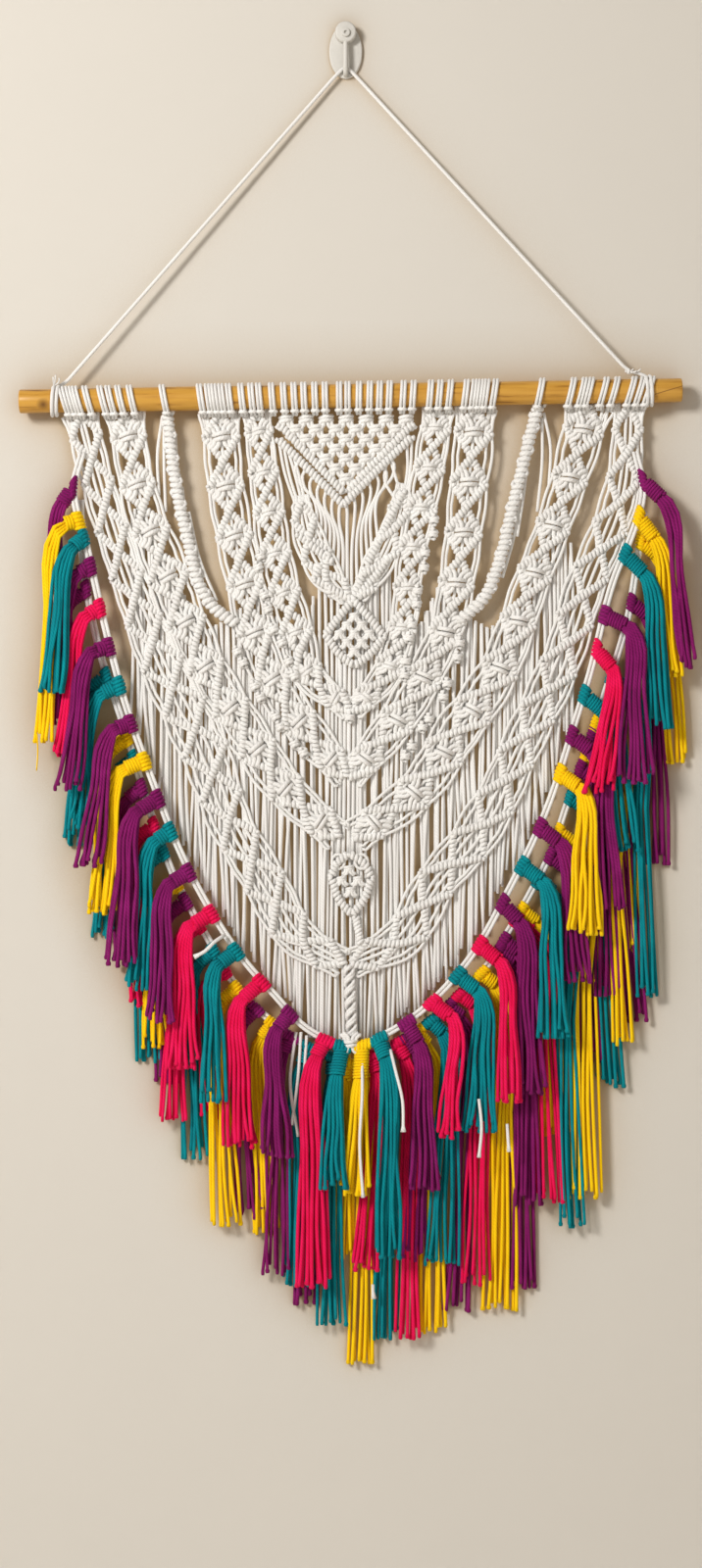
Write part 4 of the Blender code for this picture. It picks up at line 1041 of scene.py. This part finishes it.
looseEnds = [  # points, radius and how much wider the tip is
    ([(-146, -38, -1072), (-158, -52, -1080), (-168, -55, -1090), (-181, -55, -1097)], 2.2, 1.5),
    ([(20, -32, -1222), (20, -47, -1262), (17, -48, -1320), (21, -47, -1386)], 1.9, 1.4),
    ([(54, -36, -1210), (60, -54, -1234), (68, -57, -1268), (69, -57, -1306)], 2.0, 1.9),
    ([(194, -44, -1298), (195, -47, -1318), (196, -47, -1331)], 2.0, 1.5),
    ([(33, -26, -1494), (33, -27, -1503), (34, -27, -1511)], 2.0, 1.7),
    ([(-60, -20, -1190), (-67, -23, -1250), (-57, -23, -1316)], 2.0, 1.2),
    ([(-54, -20, -1190), (-57, -23, -1240), (-65, -23, -1302)], 2.0, 1.2),
    ([(-47, -20, -1194), (-50, -23, -1246), (-52, -23, -1310)], 2.0, 1.2),
    ([(160, -44, -1268), (163, -47, -1300), (160, -47, -1338)], 2.0, 1.4),
]
endStrands = []
for points, radius, flare in looseEnds:
    line = evenly(points, 7.0)
    endStrands.append((line, [radius] * (len(line) - 1) + [radius * flare]))
cottonPiece("looseEnds", endStrands)
thread = evenly([(-371, -38, -830), (-370, -38, -852), (-371.5, -38, -874)], 7.0)
strandPiece("looseThread", [(thread, 0.9)], yarn["yellow"])


def makeStage():
    stage = {"wall": (0.63, 0.595, 0.54), "mottle": 0.92, "shaded": (0.38, 0.25, 0.11), "reach": 0.08,
             "floor": (0.80, 0.78, 0.74), "floorZ": -2.2, "wide": 9.0}
    wallMaterial, tree, shader, place = newMaterial("plainWall", 0.9)
    noise = addNode(tree, "TexNoise", Vector=place["Object"], Scale=5.0, Detail=5.0).outputs["Fac"]
    colour = mixColour(tree, addMath(tree, "MULTIPLY", noise, 0.25), stage["wall"],
                       tuple(stage["mottle"] * c for c in stage["wall"]))
    near = addNode(tree, "AmbientOcclusion", Distance=stage["reach"])  # painted shade: the wall's colour turns a warm brown close behind the strands
    near.samples = 6
    openness = addMath(tree, "POWER", near.outputs["AO"], 1.5)
    feedAll(tree, shader, Base_Color=mixColour(tree, openness, stage["shaded"], colour))
    backfacing = addNode(tree, "NewGeometry").outputs["Backfacing"]
    seeThrough = addNode(tree, "BsdfTransparent").outputs[0]
    mix = addNode(tree, "MixShader")
    for socket, value in zip(mix.inputs, (backfacing, shader.outputs[0], seeThrough)):
        feed(tree, socket, value)
    feed(tree, tree.nodes["Material Output"].inputs["Surface"], mix.outputs[0])
    floorMaterial, floorTree, floorShader, _ = newMaterial("plainFloor", 0.8)
    feedAll(floorTree, floorShader, Base_Color=stage["floor"])
    middleZ = stage["floorZ"] + stage["wide"] / 2
    pickNone()
    bpy.ops.mesh.primitive_plane_add(size=stage["wide"], location=(0, mm, middleZ),
                                     rotation=(math.radians(90), 0, 0))
    wall = bpy.context.object
    wall.name = "backdropWall"
    wall.visible_shadow = False  # the lamp behind it only lights what faces the wall
    wall.data.materials.append(wallMaterial)
    bpy.ops.mesh.primitive_plane_add(size=stage["wide"], location=(0, 0, stage["floorZ"]))
    floor = bpy.context.object
    floor.name = "floor"
    floor.data.materials.append(floorMaterial)


def makeLight():
    # each lamp's place, aim, size, power and colour
    lamps = {
        "key": ((-2.0, -2.9, 0.6), (0.05, 0.0, -0.85), 0.9, 124.0, (1.0, 0.985, 0.96)),
        "fill": ((1.2, -3.4, -0.9), (0.0, 0.0, -0.9), 2.6, 14.0, (1.0, 0.96, 0.90)),
        "behind": ((0.8, 3.2, 0.2), (0.0, 0.0, -0.85), 2.0, 60.0, (1.0, 0.97, 0.93)),
    }
    room = {"colour": (1.0, 0.90, 0.78), "strength": 0.26}
    for name, (place, aim, size, power, colour) in lamps.items():
        bpy.ops.object.light_add(type="AREA", location=place)
        lamp = bpy.context.object
        lamp.name = name
        lamp.data.size = size
        lamp.data.energy = power
        lamp.data.color = colour
        lamp.rotation_euler = (Vector(aim) - Vector(place)).to_track_quat("-Z", "Y").to_euler()
    world = bpy.data.worlds.new("studio")
    world.use_nodes = True
    tree = world.node_tree
    feedAll(tree, tree.nodes["Background"], Color=room["colour"], Strength=room["strength"])
    bpy.context.scene.world = world
    bpy.context.scene.view_settings.view_transform = "Standard"


makeStage()
makeLight()
print("stage and light")
